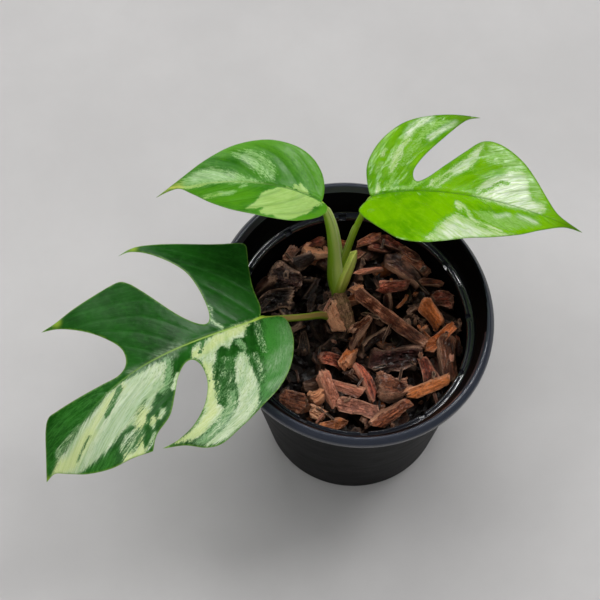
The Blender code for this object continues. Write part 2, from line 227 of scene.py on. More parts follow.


# Leaf blades, as in the CAD, with x along the midrib. "reach" is how far the veins run out to the
# +y side and to the -y side, and "lean" how steeply they leave the midrib, as x,value words.
# The haze patches are painted sheen: pale colour where a blade's gloss catches the light.
LEAF_SPACING = 0.62
LEAF_THICKNESS = 0.5
LEAF_EDGE = 0.16
LEAF_SHARP = 70
VEIN_SPACING = 8.5
LEFT_BLADE = {
    "at": (-38.5, -5, 106), "heading": 215, "pitch": -4, "length": 108.5, "arch": 13, "droop": 6,
    "bend": -9, "bend_power": 1.3, "fold": (0.5, 0.42), "ease": (0.006, 0.004), "groove": 5,
    "ripple": 1.2, "ripple_length": 46, "hug": 1.0, "tip_reach": 3.2,
    "tips": ((25, -50.5), (68, -43.5), (108.5, -0.5), (66, 27)), "beads": (),
    "outline": lines_in("""
        0,0 -3.5,-5 -6,-13 -10,-21 -14.5,-28.5 -16,-31.5 -14.5,-33.5 -8,-36.5 3.5,-42 16.5,-47
        25,-50.5 /
        31.5,-51.5 26.5,-49.5 20,-43 14,-32.5 13.5,-23 16,-12.5 19.5,-8.5 23.5,-11 28,-19 33,-33.5
        35.5,-39.5 38.5,-42.5 46,-43.5 58,-43.5 68,-43.5 /
        75,-45 68,-40 60,-31.5 55,-23 54,-17.5 56.5,-13 61.5,-11.5 69,-13 80,-15.5 89,-17.5 93,-18
        97,-15 103,-7.5 /
        108.5,-0.5 104,0 100,5 94,12.5 86,18.5 77,21.5 /
        69.5,25 64.5,21 56,18.5 49.5,12.5 43.5,6 37.5,2 34,3 33.5,8.5 36.5,16.5 43,24 51,28.5
        59,29 /
        66,27 59,32.5 53,39.5 46.5,42 36,40 25,37 14.5,34.5 6,29.5 -1,22 -6,14 -8.5,6.5 -7.5,3
        -4,1.5"""),
    "reach": lines_in("""
        -9,10 0,26 10,36 25,44 36,48 46,51 56,46 66,38 77,31 86,25 94,17 101,9 109,1 /
        -16,24 -8,34 3,42 20,49 35,50 50,42 75,40 82,15 93,15 103,7 109,1"""),
    "lean": lines_in("""
        0,2.2 30,2 45,1.2 60,0.5 80,0.3 108,0.2 /
        0,2.6 20,2 40,1.5 60,1 80,0.5 108,0.2"""),
    # The lime patch over the lower lobe by the stalk is a lighter green painted for the sheen that
    # lobe catches.
    "patches": patches_in("""
        cream 1.4 2 0 43,-4 48,-6 53.5,-6.5 57.5,-7 61,-8 65,-8 69.5,-8.5 73.5,-7 77.5,-6.5 81,-6
        85,-6 88,-4.5 91.5,-4 95.5,-3 99,-3.5 101.5,-2 105.5,-0.5 99,6.5 98,9 95.5,9.5 92,10.5
        88.5,11 85,11 81,10.5 77.5,10 73.5,9.5 70,10 67.5,13.5 64.5,14 63,11 60,11 56.5,8.5 54,6.5
        50.5,6 48,3 44.5,-1.5 /
        cream 1.2 -0.1 0 74,12 69,13 66.5,14 67.5,16.5 70.5,19 74,20.5 76,19.5 79,18.5 79,16
        76.5,13 /
        cream 1 1.2 0 82,20 78.5,19 75.5,20 72,19.5 70.5,18 70.5,20 72,23 72,24 76.5,22.5 80.5,21 /
        cream 1 0.9 0 61.5,13.5 60,15 64,18.5 64,15.5 /
        cream 1 0.8 0 57,13.5 55.5,14.5 57,16 59.5,17 60,16 /
        cream 0.9 0.6 0.8 43,5 48,9.5 /
        cream 0.9 0.2 0.7 65,20 69,22.5 71.5,23 /
        cream 1.2 -0.2 1.2 86,-5.5 92,-5 98,-4.5 /
        hole 1 0.5 1.2 64,-6.5 67.5,-4.5 71.5,-2.5 74.5,-1 /
        hole 0.8 0.3 0.6 85,0.5 90,2.5 94,4.5 /
        hole 1.5 -0.2 1.5 69.5,10 66,9 60.5,7 /
        mint 1.6 0.8 1.6 42.5,-3.5 47,4 52,7.5 /
        haze 2 1 1.2 57,-9 49,-6.5 43,-5 39,-4 /
        haze 4 0.6 4 54.5,-3.5 63,0 72,4 79,5.5 86.5,6 /
        yolk 1.6 1 1.6 63,-6 70.5,-5.5 77,-3 83,-1 /
        yolk 1.6 1.4 3.2 84,0 90,1.5 96,3 102.5,-0.5 /
        yolk 1.6 1 2.4 63,9 67,12.5 62,14.5 /
        yolk 1.6 1 2 70.5,18.5 73.5,22.5 79.5,20 /
        cream 1.2 2 0 4,-0.5 8,1 11,5 13.5,4.5 15,4 17.5,5 20,7 21,3.5 23.5,4.5 27,8 30,11 33,15.5
        35,19 37,23 38.5,26.5 38.5,29.5 37,29.5 40.5,32 43.5,33 48,33.5 53,34 56,33 60,30 65,27.5
        58.5,29.5 53.5,30 49.5,29 45,26.5 40.5,21.5 36,15.5 33.5,11 32.5,6 33,3 34.5,2 32,-1.5
        30,-2.5 27,-3 24,-2.5 19.5,-2.5 14.5,-2 9.5,-1.5 6,-1 /
        hole 0.8 0.6 0.8 26,-2.5 30,1.5 /
        cream 1.2 2 0 20.5,13 18,11 16,12 16.5,15 18,19.5 19,23.5 20.5,28 23,32 26,35.5 29.5,37.5
        34.5,39.5 39.5,40.5 44.5,41.5 49.5,40.5 53.5,38.5 49.5,38 45.5,37.5 42,36.5 38,35 34,32.5
        31,29.5 28,24.5 26,20 23.5,16.5 /
        cream 1.4 -0.5 0 24.5,10 22,12 27,20 31.5,24.5 36.5,26.5 37,24 31,17 /
        mint 1.6 0.9 0 31.5,24.5 29.5,26 34,32.5 39.5,35.5 45,37.5 51.5,38.5 57.5,34.5 53,35 45.5,34
        40.5,32 36,29 /
        cream 1.2 -0.1 0 33,26.5 32.5,29.5 35.5,32.5 41,35 47,37 50.5,37 45,35 39.5,32 /
        mint 1.2 0.5 1 14.5,5.5 15,10.5 /
        cream 0.9 -0.3 0.9 2,0 5.5,7 8.5,14.5 9,16.5 /
        cream 0.9 -0.35 0.8 13.5,16 15.5,22 18,28 /
        cream 0.9 0.5 0.6 17.5,-8.5 17,-6.5 16,-4 /
        cream 0.9 -0.3 0.9 15,-13.5 18,-9 /
        lime 3 0.9 0 -1.5,0 -8.5,4.5 -7,11.5 -2.5,20.5 4.5,29 12,33.5 20.5,35.5 25.5,36.5 22.5,31
        15.5,25.5 10.5,17 4.5,7.5 /
        haze 2.5 1.2 1.6 3,26 7.5,30.5 12.5,32.5 17,32.5 /
        haze 4 0.4 2.5 11.5,25 7,23.5 0,20.5 /
        haze 3 0.4 1.4 45,-7.5 39.5,-6.5 35,-6.5 /
        haze 1.5 0.6 1 43.5,36.5 39.5,35.5 35,33 /
        yolk 1.6 1 2.4 5.5,-0.5 13.5,0.5 21.5,0 26,1.5 32,1 /
        yolk 1.6 1 2.2 32.5,8.5 35,16.5 39,22.5 42.5,28.5 50.5,32 59.5,30 /
        haze 6 -0.1 3 -7,12 -2,22 6,29.5 /
        lime 4 -0.2 3 74,-12 86,-11 98,-9 104,-4 /
        lime 4 -0.1 3 100,4 94,10 86,14"""),
}
MIDDLE_BLADE = {
    "at": (-11, 30, 137), "heading": 170, "pitch": -2, "length": 68, "arch": 8, "droop": 4,
    "bend": -2.6, "bend_power": 0.6, "fold": (0.62, 0.45), "ease": (0.008, 0.007), "groove": 4,
    "ripple": 0.8, "ripple_length": 40, "hug": 0.8, "tip_reach": 5.0, "tips": ((68.5, 1),),
    "beads": (),
    "outline": lines_in("""
        0,0 -0.5,-3 -0.5,-7 1,-12 5,-17 11,-20 19,-21 27,-20.5 38,-17.5 49,-11.5 58,-5.5 /
        68.5,1 63,-0.5 58,-0.5 52,3.5 43,10 34,14 24,15.5 15,16 8,15 2,11 -2,5.5 -2.5,2 -1.5,0"""),
    "reach": lines_in("""
        -3,6 2,14 8,18 15,19 24,18.5 34,16.5 43,12.5 52,5 60,1.5 69,0.5 /
        -1,6 1,11 5,15 11,18 19,18.5 27,18 38,15 49,9.5 58,4.5 69,0.5"""),
    "lean": lines_in("""
        0,1.6 20,1.1 40,0.6 68,0.2 /
        0,2 20,1.3 40,0.7 68,0.2"""),
    "patches": patches_in("""
        mint 1.8 0.5 0 37.5,-14 34.5,-14.5 29.5,-15.5 25.5,-14.5 22.5,-12 20,-9.5 19.5,-6.5 20.5,-5
        24.5,-6 28,-8 30,-10 32.5,-11.5 /
        haze 1.6 0.4 1.2 32.5,-12.5 29,-10 /
        mint 1.6 1.4 0 56.5,-5 52.5,-6.5 49,-7.5 45,-8 40.5,-7 37.5,-6 33.5,-5.5 30.5,-4.5 27,-3.5
        23.5,-3 33,-1.5 40,-1.5 47,-1 51.5,-1 56,-1 58.5,-2 /
        haze 2 0.9 1.8 52.5,-4.5 47.5,-5.5 41.5,-4.5 36.5,-4.5 /
        cream 0.9 1 0 63.5,-2 57.5,-1.5 51.5,-1 46,-1 49,0 53.5,0.5 58.5,-0.5 /
        cream 1 -0.2 0 47,6.5 44.5,5 41,4 38.5,5.5 42.5,7 46,7.5 /
        mint 1 0.6 0 41,4 37,3.5 33.5,3 34.5,5 38.5,6.5 /
        mint 0.8 0.4 0.5 32.5,1 30,-1 /
        lime 4 0.9 0 54,1 46,1.5 36,1 28,2 24,5 27,10 33,13 42,10 50,5 /
        cream 0.8 2 0 27.5,13 26.5,10.5 25,9 24,5.5 23.5,3.5 21.5,1 19.5,-0.5 17,-2 14,-3 11,-2.5
        8,-1.5 4,-1 0,0 0,1 2.5,4 3.5,7 4.5,9.5 6.5,11.5 8,13.5 11.5,16 15.5,16 17.5,14.5 19,15
        22,14.5 22.5,13.5 21,11.5 22,11 24.5,12.5 /
        cream 0.8 1 0 11.5,-3 11,-5 10,-4.5 9,-6 8,-4.5 6.5,-4 5.5,-2.5 4,-1.5 8,-1.5 /
        yolk 2 1 2 72,1 65,-1 59,-1.5 /
        lime 4 1 5.5 19,-21 7.5,-17 0,-10 -1,-3 /
        lime 3 0.8 3 42,-16 30,-19 19,-21 /
        lime 2 0.9 2.5 9,15 2,11 -2,5 0,0"""),
}
RIGHT_BLADE = {
    "at": (9, 30, 139), "heading": -12, "pitch": -2, "length": 86, "arch": 7, "droop": 4,
    "bend": 3.5, "bend_power": 0.6, "fold": (0.42, 0.6), "ease": (0.005, 0.008), "groove": 4,
    "ripple": 0.9, "ripple_length": 40, "hug": 0.35, "tip_reach": 17, "tips": ((86, 0), (39, 36)),
    "beads": ((40, -17, 1.9, 0.6), (23, 35, 1.3, 0.45)),
    "outline": lines_in("""
        0,0 -2,5 -3.5,12 -2.5,18 1.5,25 8.5,31.5 17.5,35.5 27,37 /
        39,36 33,34 25,25.5 18.5,17.5 15.5,11.5 17,7.5 21,9 28,15 35,21 40.5,25.5 45.5,26.5 52,25
        59,21 65,15 70.5,8.5 76,3.5 /
        86,0 78,-1 69,-6.5 60,-13 50,-17.5 40,-20 30,-23.5 22,-25.5 14,-24.5 6.5,-19 0.5,-13.5
        -3.5,-8.5 -3.5,-5.5 -2,-2.5"""),
    "reach": lines_in("""
        -4,14 2,24 8,31 18,35 28,36 40,32 46,26 52,23 59,18 65,12.5 70,7 76,2.5 87,0.5 /
        -4,9 0,15 6,22 14,28 22,29.5 30,27.5 40,24 50,21 60,15.5 69,8.5 78,2.5 87,0.5"""),
    "lean": lines_in("""
        0,3 15,1.6 35,1 60,0.7 86,0.5 /
        0,2 20,1.3 40,0.9 60,0.6 86,0.4"""),
    "patches": patches_in("""
        cream 1.6 1.4 0 6.5,10 5.5,13 6,16.5 7,19.5 9.5,22.5 10.5,25.5 10.5,28 13,30.5 14,32.5
        17,34.5 19,35 17.5,32.5 15,30 13.5,27.5 12,25 12,23 10.5,20.5 10,17.5 8.5,14.5 8,11
        7.5,9.5 /
        haze 1.5 1 1.4 11,27 12.5,30 15.5,32.5 19,35 /
        cream 1 1.4 0 19,25.5 20.5,27.5 23,29.5 26,31.5 28.5,33 30,33 27.5,30.5 25.5,29.5 23,27.5
        20.5,25 /
        haze 1.2 1 1.2 20,26 23.5,29 26.5,31.5 29,33 /
        mint 1.6 0.9 0 15,26 16,28.5 18.5,32 21,33.5 24.5,34.5 27,33.5 24.5,32 21.5,30 19,27.5
        17.5,25 16,22.5 14,23 /
        mint 1.6 0.1 0 10,14.5 11,17.5 12,21 14,23.5 16,22.5 14,19 12.5,16 11,14 /
        cream 0.8 0 0.7 1,11 2,14 /
        cream 0.8 0.3 0.6 2,17.5 3,20 /
        cream 0.8 1 0 1,1 1.5,3.5 2,6.5 3,5.5 3.5,3.5 3,2 /
        mint 0.8 0.8 0.7 5,3.5 7,7 8,10 /
        mint 0.8 0.6 0.6 6.5,4 8.5,7 /
        mint 1.2 1 0 14.5,4.5 15,6 16,7.5 17.5,7 19,7 18,5.5 16.5,4.5 /
        mint 1 0.6 0.7 7.5,3.5 11.5,4 16,4.5 /
        cream 1.6 1.2 0 22.5,5.5 23.5,8.5 27,10.5 31.5,14.5 35.5,18 39,22 41,24.5 42,22.5 40.5,18.5
        38.5,15.5 35.5,13 32,11 28.5,7.5 25.5,5 /
        haze 1.5 0.8 1.2 32,12.5 36,16 39.5,20 /
        hole 0.8 0.2 0.5 39.5,16 41,18.5 41.5,22 /
        hole 0.8 0.2 0.5 24.5,6 27.5,9.5 30.5,11.5 /
        mint 2 1 0 44,23.5 48,25.5 52,24 57.5,21.5 60.5,18.5 58.5,17.5 53,16 50,17.5 46,18.5 42,19
        42.5,20.5 /
        cream 1.6 2.5 0 40.5,3.5 41.5,6.5 43,9 46,11.5 49.5,13 52.5,14.5 55.5,16.5 58.5,17.5 61,15.5
        62,12.5 62.5,9.5 64,7 67,6 69.5,5.5 69.5,3 66,1.5 61.5,1 56.5,1 51,1.5 46.5,2 43,2.5 /
        haze 2 1.4 0 42.5,5 45,9.5 49,12.5 54.5,15 60,15.5 61.5,10.5 63,6.5 67.5,5 67,2.5 60.5,2
        53.5,2 47,3.5 /
        hole 0.9 0.4 0.7 41.5,4.5 44.5,6 47.5,8 50.5,10.5 53.5,11 /
        hole 0.8 0.1 0.5 42,8.5 45.5,12 50.5,14.5 /
        mint 1.5 0.8 0 60.5,18 63,16.5 66,13 68.5,9 65,7.5 62.5,11 61.5,15 /
        cream 0.9 1.2 0 33.5,-2.5 34,-0.5 36,-1 37,-3 36.5,-6 35,-5.5 /
        cream 1 0.4 0.6 37,-3 39.5,-7 41,-10 45,-11.5 50,-13 53,-13.5 /
        cream 1.8 2 0 24,-24 26.5,-20 29.5,-14 32.5,-10 36,-7.5 37.5,-9.5 41,-10 44,-12.5 48,-14
        53,-14.5 57.5,-14 54.5,-16 43.5,-19 38,-20.5 31.5,-23 /
        haze 2 1.2 0 29,-21.5 31.5,-15.5 35.5,-11.5 39,-13 43.5,-15.5 48.5,-16 43.5,-18.5 37.5,-20
        33,-22 /
        mint 1.8 1 0 41.5,-5.5 47.5,-4 52.5,-4 58,-3 63,-1 67,-2 68.5,-4 63,-7.5 58,-11 53,-13
        48,-11.5 45,-9.5 /
        haze 1.2 0.4 1 50.5,-6 55,-3.5 /
        haze 1.2 0.7 1 59.5,-2.5 62.5,-3 66,-3.5 /
        lime 2 1 0 30,6 35.5,11 40.5,14 45,16.5 50,17.5 49.5,16 45.5,13.5 41,10 38.5,7 34.5,4.5 /
        lime 3 1 3 86,0 78,1 70,2 /
        lime 2 1 1.8 34,1 43.5,1.2 53,1.5"""),
}


# Each blade's colours, then how strongly its marks show: a name, left, middle, right.
# haze is a whitish colour painted where a blade's gloss catches the light.
LEFT_LOOK, MIDDLE_LOOK, RIGHT_LOOK = looks_in("""
    deep 14,60,8 42,108,12 82,148,0
    green 24,82,14 62,128,18 118,180,0
    light 44,108,34 96,158,50 142,196,20
    lime 60,126,46 82,148,20 116,178,0
    mint 96,142,86 114,168,82 116,172,54
    mint_light 140,176,124 156,198,124 150,196,100
    cream 176,196,146 152,190,94 162,200,102
    cream_light 206,218,188 172,206,118 202,220,172
    yolk 206,216,132 190,200,86 196,208,84
    tip 150,180,50 150,150,50 64,100,8
    vein 60,130,50 38,100,18 86,146,6
    rib 158,190,84 50,108,26 62,122,4
    rib_tip 70,120,50 172,200,112 70,124,16
    rim 116,158,60 100,150,48 90,132,40
    under 90,140,80 130,175,100 150,195,90
    haze 196,212,184 200,220,184 238,242,234
    bare_yolk 0 0.7 0.4
    halo 0.45 0.3 0.7
    fleck 0.8 0.25 0.75
    vein_share 0.12 0.3 0.25
    rib_share 0.85 0.7 0.8
    crease 0.08 0.12 0.4
    line_bump 0.04 0.05 0.06
    shine 0.34 0.36 0.16
    specular 0.26 0.26 0.55
    pleat 0.04 0.13 0.13
    streak 0.6,0.26 0.55,0.3 0.6,0.42
    yolk_share 0.55 0.8 0.8
    haze_share 0.42 0.55 0.62
    veil 0.5 0.2 0.5
""")


# Noise, curves and meshes


def value_noise(points, seed):
    """Smooth noise between -1 and 1 at each 3-D point."""
    cell = np.floor(points).astype(np.int64)
    part = points - cell
    part = part * part * (3 - 2 * part)
    total = np.zeros(len(points))
    for corner in range(8):
        step = np.array([corner & 1, corner >> 1 & 1, corner >> 2 & 1])
        x, y, z = (cell + step).T
        key = (x * 73856093) ^ (y * 19349663) ^ (z * 83492791) ^ (seed * 2654435)
        key = (key ^ (key >> 13)) * 1274126177
        value = ((key ^ (key >> 16)) & 0xFFFF) / 32767.5 - 1
        total += value * np.prod(np.where(step == 1, part, 1 - part), axis=1)
    return total


def rough(points, seed, octaves=3):
    """Noise with finer and fainter octaves added."""
    shares = [value_noise(points * 2**i + 17.3 * i, seed + i) / 2**i for i in range(octaves)]
    return sum(shares) / 1.5


def spline(points, closing=(), steps=12):
    """Points on a smooth line through the given ones. It runs on to any closing point, which it
    leaves out."""
    given = np.array([*points, *closing], float)
    padded = np.vstack([2 * given[0] - given[1], given, 2 * given[-1] - given[-2]])
    found = []
    for a, b, c, d in zip(padded, padded[1:], padded[2:], padded[3:]):
        bow = 2 * a - 5 * b + 4 * c - d
        for t in np.arange(steps) / steps:
            found.append((2 * b + (c - a) * t + bow * t * t + (3 * b - a - 3 * c + d) * t**3) / 2)
    return np.array(found if len(closing) else [*found, given[-1]])


def lengths_along(line):
    return np.concatenate([[0], np.cumsum(np.linalg.norm(np.diff(line, axis=0), axis=1))])


def evenly(line, spacing):
    """The line again with even spacing, without its last point."""
    run = lengths_along(line)
    places = np.linspace(0, run[-1], max(2, round(run[-1] / spacing)) + 1)[:-1]
    return np.stack([np.interp(places, run, column) for column in line.T], axis=1)


def to_segments(points, line, closed=True):
    """The distance from each 2-D point to a line, and whether the point lies inside it."""
    starts = np.array(line, float)
    ends = np.roll(starts, -1, axis=0)
    pairs = list(zip(starts, ends))[: None if closed else -1]
    nearest = np.full(len(points), 1e9)
    inside = np.zeros(len(points), bool)
    x, y = points.T
    for a, b in pairs:
        along = b - a
        t = np.clip(((points - a) @ along) / max(along @ along, 1e-12), 0, 1)
        nearest = np.minimum(nearest, np.hypot(*(points - a - t[:, None] * along).T))
        if closed and a[1] != b[1]:
            crosses = (a[1] > y) != (b[1] > y)
            inside ^= crosses & (x < (b[0] - a[0]) * (y - a[1]) / (b[1] - a[1]) + a[0])
    return nearest, inside


def ramp(value, low, high):
    t = np.clip((value - low) / (high - low), 0, 1)
    return t * t * (3 - 2 * t)


def hill(value, width):
    """A smooth bump, 1 where the value is 0."""
    return np.exp(-((value / width) ** 2))


def unit(rows):
    return rows / np.linalg.norm(rows, axis=-1, keepdims=True)


def link(name, data):
    obj = bpy.data.objects.new(name, data)
    bpy.context.scene.collection.objects.link(obj)
    return obj


def piece(name, node, points, faces, materials, sharp=180, **attributes):
    """A smooth-shaded piece from points in millimetres, riding on the part's one body."""
    mesh = bpy.data.meshes.new(name)
    mesh.from_pydata((np.asarray(points) * MM).tolist(), [], [list(f) for f in faces])
    for key, values in attributes.items():
        values = np.asarray(values, np.float32)
        kinds = {1: ("FLOAT", "value"), 3: ("FLOAT_VECTOR", "vector"), 4: ("FLOAT_COLOR", "color")}
        kind, field = kinds[values[0].size]
        mesh.attributes.new(key, kind, "POINT").data.foreach_set(field, values.ravel())
    mesh.shade_smooth()
    if sharp < 180:
        mesh.set_sharp_from_angle(angle=math.radians(sharp))
    for material in materials:
        mesh.materials.append(material)
    obj = link(name, mesh)
    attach(obj, "root")
    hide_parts(node)
    return obj


# Materials


def srgb(*colour):
    """A colour from 0 to 255 as linear RGBA."""
    values = [c / 255 for c in colour]
    return (*[v / 12.92 if v <= 0.04045 else ((v + 0.055) / 1.055) ** 2.4 for v in values], 1)


class Nodes:
    """A material's node tree with short ways to add what these materials use."""

    def __init__(self, name):
        self.material = bpy.data.materials.new(name)
        self.material.use_nodes = True
        self.tree = self.material.node_tree

    def put(self, node, values):
        for key, value in values.items():
            if isinstance(value, bpy.types.NodeSocket):
                self.tree.links.new(value, node.inputs[key])
            elif value is not None:
                node.inputs[key].default_value = value

    def add(self, kind, values, output=0, **settings):
        """A new node's output. values is for its inputs, by name or in order."""
        node = self.tree.nodes.new("ShaderNode" + kind)
        for key, value in settings.items():
            setattr(node, key, value)
        self.put(node, values if isinstance(values, dict) else dict(enumerate(values)))
        return node.outputs[output]

    def math(self, operation, *values):
        return self.add("Math", values, operation=operation)

    def times(self, *values):
        return self.math("MULTIPLY", *values)

    def plus(self, *values):
        return self.math("ADD", *values)

    def centred(self, value, size):
        """The value from 0 to 1 spread over size, with its middle at 0."""
        return self.math("MULTIPLY_ADD", value, size, -size / 2)

    def mix(self, share, a, b, blend="MIX"):
        return self.add("Mix", {0: share, 6: a, 7: b}, 2, data_type="RGBA", blend_type=blend)

    def attribute(self, name, output="Fac"):
        return self.add("Attribute", (), output, attribute_name=name)

    def place(self):
        return self.add("TexCoord", (), "Object")

    def noise(self, vector, scale, detail=3.0, roughness=0.55, distortion=0.0):
        """Noise at a scale that is one number or three."""
        if isinstance(scale, tuple):
            vector, scale = self.add("Mapping", {"Vector": vector, "Scale": scale}), 1
        values = {"Vector": vector, "Scale": scale, "Detail": detail, "Roughness": roughness}
        return self.add("TexNoise", values | {"Distortion": distortion})

    def step(self, value, low, high, start=0.0, end=1.0):
        """start below low, end above high, and smooth between them."""
        return self.add("MapRange", (value, low, high, start, end), interpolation_type="SMOOTHSTEP")

    def bump(self, height, strength, distance, normal=None):
        values = {"Height": height, "Strength": strength, "Distance": distance * MM}
        return self.add("Bump", values | {"Normal": normal})

    def close(self, colour, roughness, normal, **values):
        values = {key.replace("_", " "): value for key, value in values.items()}
        values |= {"Base Color": colour, "Roughness": roughness, "Normal": normal}
        self.put(self.tree.nodes["Principled BSDF"], values)
        return self.material


def leaf_material(name, look):
    """A leaf face: green laid over by ragged pale patches that follow the veins, and painted sheen.
    """
    n = Nodes(name)
    tone = {key: srgb(*value) for key, value in look.items() if np.size(value) == 3}
    flow = n.attribute("flow", "Vector")
    place = n.attribute("place", "Vector")
    wide, long = look["streak"]
    streaks = n.noise(flow, (wide, long, 1), 4, 0.62)
    specks = n.noise(flow, (3.3 * wide, 3.6 * long, 1), 3, 0.6)
    grains = n.noise(place, 1.6, 4, 0.7)
    ragged = n.plus(n.centred(streaks, 3.0), n.centred(specks, 3.2))
    ragged = n.plus(ragged, n.centred(grains, 2.4))

    def patch(field, soft, shift=0.0):
        return n.step(n.plus(n.attribute(field), ragged), -soft - shift, soft - shift)

    broad = n.noise(place, 0.05, 2)
    mottle = n.noise(place, 0.45, 4, 0.6)
    fine = n.noise(flow, (1.0, 0.3, 1))
    green = n.mix(n.step(broad, 0.35, 0.65), tone["deep"], tone["green"])
    green = n.mix(n.step(fine, 0.45, 0.75, 0, 0.3), green, tone["light"])
    green = n.mix(n.step(mottle, 0.45, 0.75, 0, 0.35), green, tone["light"])
    green = n.mix(patch("lime", 0.9), green, tone["lime"])
    mint = n.mix(n.step(specks, 0.35, 0.65), tone["mint"], tone["mint_light"])
    # Mint patches are pale variegation, and some of them also stand for painted sheen bands.
    colour = n.mix(patch("mint", 0.6), green, mint)
    colour = n.mix(n.times(patch("cream", 0.5, 0.6), look["halo"]), colour, tone["mint"])
    cream = n.mix(n.step(fine, 0.3, 0.7), tone["cream"], tone["cream_light"])
    cream = n.mix(n.step(mottle, 0.5, 0.8, 0, 0.55), cream, tone["cream_light"])
    veil = n.noise(flow, (0.22, 0.11, 1), 4, 0.6)
    cream = n.mix(n.step(veil, 0.44, 0.62, 0, look["veil"]), cream, tone["mint_light"])
    dull = n.times(n.step(specks, 0.5, 0.64), n.step(grains, 0.42, 0.56, 0.15, 1))
    cream = n.mix(n.times(dull, look["fleck"]), cream, tone["mint"])
    yolk = n.plus(n.attribute("yolk"), n.times(ragged, 0.8))
    yolk = n.step(yolk, -1.0, 1.4, 0, look["yolk_share"])
    cream = n.mix(yolk, cream, tone["yolk"])
    whole = n.math("SUBTRACT", 1.0, patch("hole", 0.3))
    colour = n.mix(n.times(patch("cream", 0.3), whole), colour, cream)
    colour = n.mix(n.times(yolk, look["bare_yolk"]), colour, tone["yolk"])
    # Painted sheen: pale broken patches where the blade's gloss catches the light.
    haze = n.step(n.plus(n.attribute("haze"), n.times(mottle, 0.8)), -0.6, 1.4)
    sheen = n.times(n.step(fine, 0.35, 0.6, 0.3, 1), n.step(specks, 0.35, 0.6, 0.5, 1))
    haze = n.times(n.times(n.times(haze, sheen), look["haze_share"]), whole)
    colour = n.mix(haze, colour, tone["haze"])
    colour = n.mix(n.times(n.attribute("vein"), look["vein_share"]), colour, tone["vein"])
    rib = n.mix(n.attribute("along"), tone["rib"], tone["rib_tip"])
    colour = n.mix(n.times(n.attribute("rib"), look["rib_share"]), colour, rib)
    colour = n.mix(n.attribute("tips"), colour, tone["tip"])
    colour = n.mix(n.attribute("rim"), colour, tone["rim"])
    under = n.attribute("under")
    colour = n.mix(under, colour, n.mix(0.5, colour, tone["under"]))

    normal = n.bump(n.noise(flow, (0.35, 0.2, 1), 2, 0.5, 0.6), look["crease"], 1.2)
    normal = n.bump(n.noise(flow, (1.4, 0.05, 1), 2), look["line_bump"], 0.2, normal)
    normal = n.bump(n.noise(place, 2.2, 2), 0.15, 0.1, normal)
    shine = look["shine"]
    shine = n.step(n.noise(place, 0.25, 4), 0.3, 0.7, shine - 0.04, shine + 0.08)
    shine = n.math("MULTIPLY_ADD", under, 0.22, shine)
    return n.close(colour, shine, normal, IOR=1.45, Specular_IOR_Level=look["specular"],
                   Subsurface_Weight=0.08, Subsurface_Radius=(0.4, 0.8, 0.15),
                   Subsurface_Scale=0.0012)


def plastic_material(name, base, dust_tone, shine, specular):
    """Black moulded plastic: a fine grain, soft wear and a little dust."""
    n = Nodes(name)
    place = n.place()
    marks = n.noise(place, (40, 40, 260), 3, 0.5)
    dust = n.noise(place, 90, 5, 0.65)
    colour = n.mix(n.step(dust, 0.5, 0.8, 0, 0.25), srgb(*base), srgb(*dust_tone))
    worn = n.step(marks, 0.3, 0.7, shine, shine + 0.04)
    worn = n.math("MULTIPLY_ADD", n.step(dust, 0.45, 0.75), 0.05, worn)
    normal = n.bump(n.noise(place, 2600, 2, 0.6), 0.12, 0.05)
    return n.close(colour, worn, normal, Specular_IOR_Level=specular)


def bark_material():
    """Torn bark: fibres along each chip, a dark crust, pale torn edges, and painted shade."""
    n = Nodes("bark")
    grain = n.attribute("grain", "Vector")
    tint = n.attribute("tint", "Color")
    bare = n.attribute("bare")
    sunk = n.attribute("sunk")
    fibres = n.noise(grain, (0.09, 1.3, 1.3), 5, 0.72)
    threads = n.noise(grain, (0.2, 4.5, 4.5), 3, 0.65)
    blotch = n.noise(grain, 0.32, 4, 0.65)
    crumbs = n.noise(grain, 1.3, 4, 0.7)
    light = n.mix(0.65, tint, srgb(255, 204, 168))
    dark = n.mix(1.0, tint, srgb(112, 78, 64), "MULTIPLY")
    dark = n.mix(n.times(bare, 0.7), dark, tint)
    colour = n.mix(n.step(fibres, 0.38, 0.6), dark, tint)
    colour = n.mix(n.step(threads, 0.52, 0.74, 0, 0.75), colour, light)
    colour = n.mix(n.step(blotch, 0.5, 0.64, 0, 0.8), colour, dark)
    colour = n.mix(n.step(crumbs, 0.56, 0.72, 0, 0.5), colour, light)
    colour = n.mix(n.step(crumbs, 0.42, 0.3, 0, 0.6), colour, srgb(26, 12, 8))
    crust = n.times(n.attribute("crust"), n.step(blotch, 0.35, 0.55, 0.1, 0.85))
    colour = n.mix(crust, colour, n.mix(0.55, dark, srgb(46, 26, 22)))
    torn = n.times(n.attribute("torn"), n.step(threads, 0.35, 0.62, 0.1, 0.9))
    colour = n.mix(torn, colour, light)
    # Painted shade: random blotches darken the chips that are not bare.
    shade_blotches = n.step(n.noise(n.place(), 75), 0.46, 0.62, 0, 0.72)
    blotch_shade = n.times(shade_blotches, n.math("SUBTRACT", 1.0, bare))
    colour = n.mix(blotch_shade, colour, n.mix(0.8, colour, srgb(10, 5, 4)))
    # Painted shade: low chips and the gaps between chips go nearly black.
    colour = n.mix(sunk, colour, n.mix(0.95, colour, srgb(6, 3, 2)))
    normal = n.bump(n.math("MULTIPLY_ADD", threads, 0.5, fibres), 1.0, 0.8)
    normal = n.bump(crumbs, 0.9, 0.7, normal)
    return n.close(colour, n.step(fibres, 0.3, 0.7, 0.36, 0.7), normal, Specular_IOR_Level=0.5,
                   Coat_Weight=0.2, Coat_Roughness=0.25)


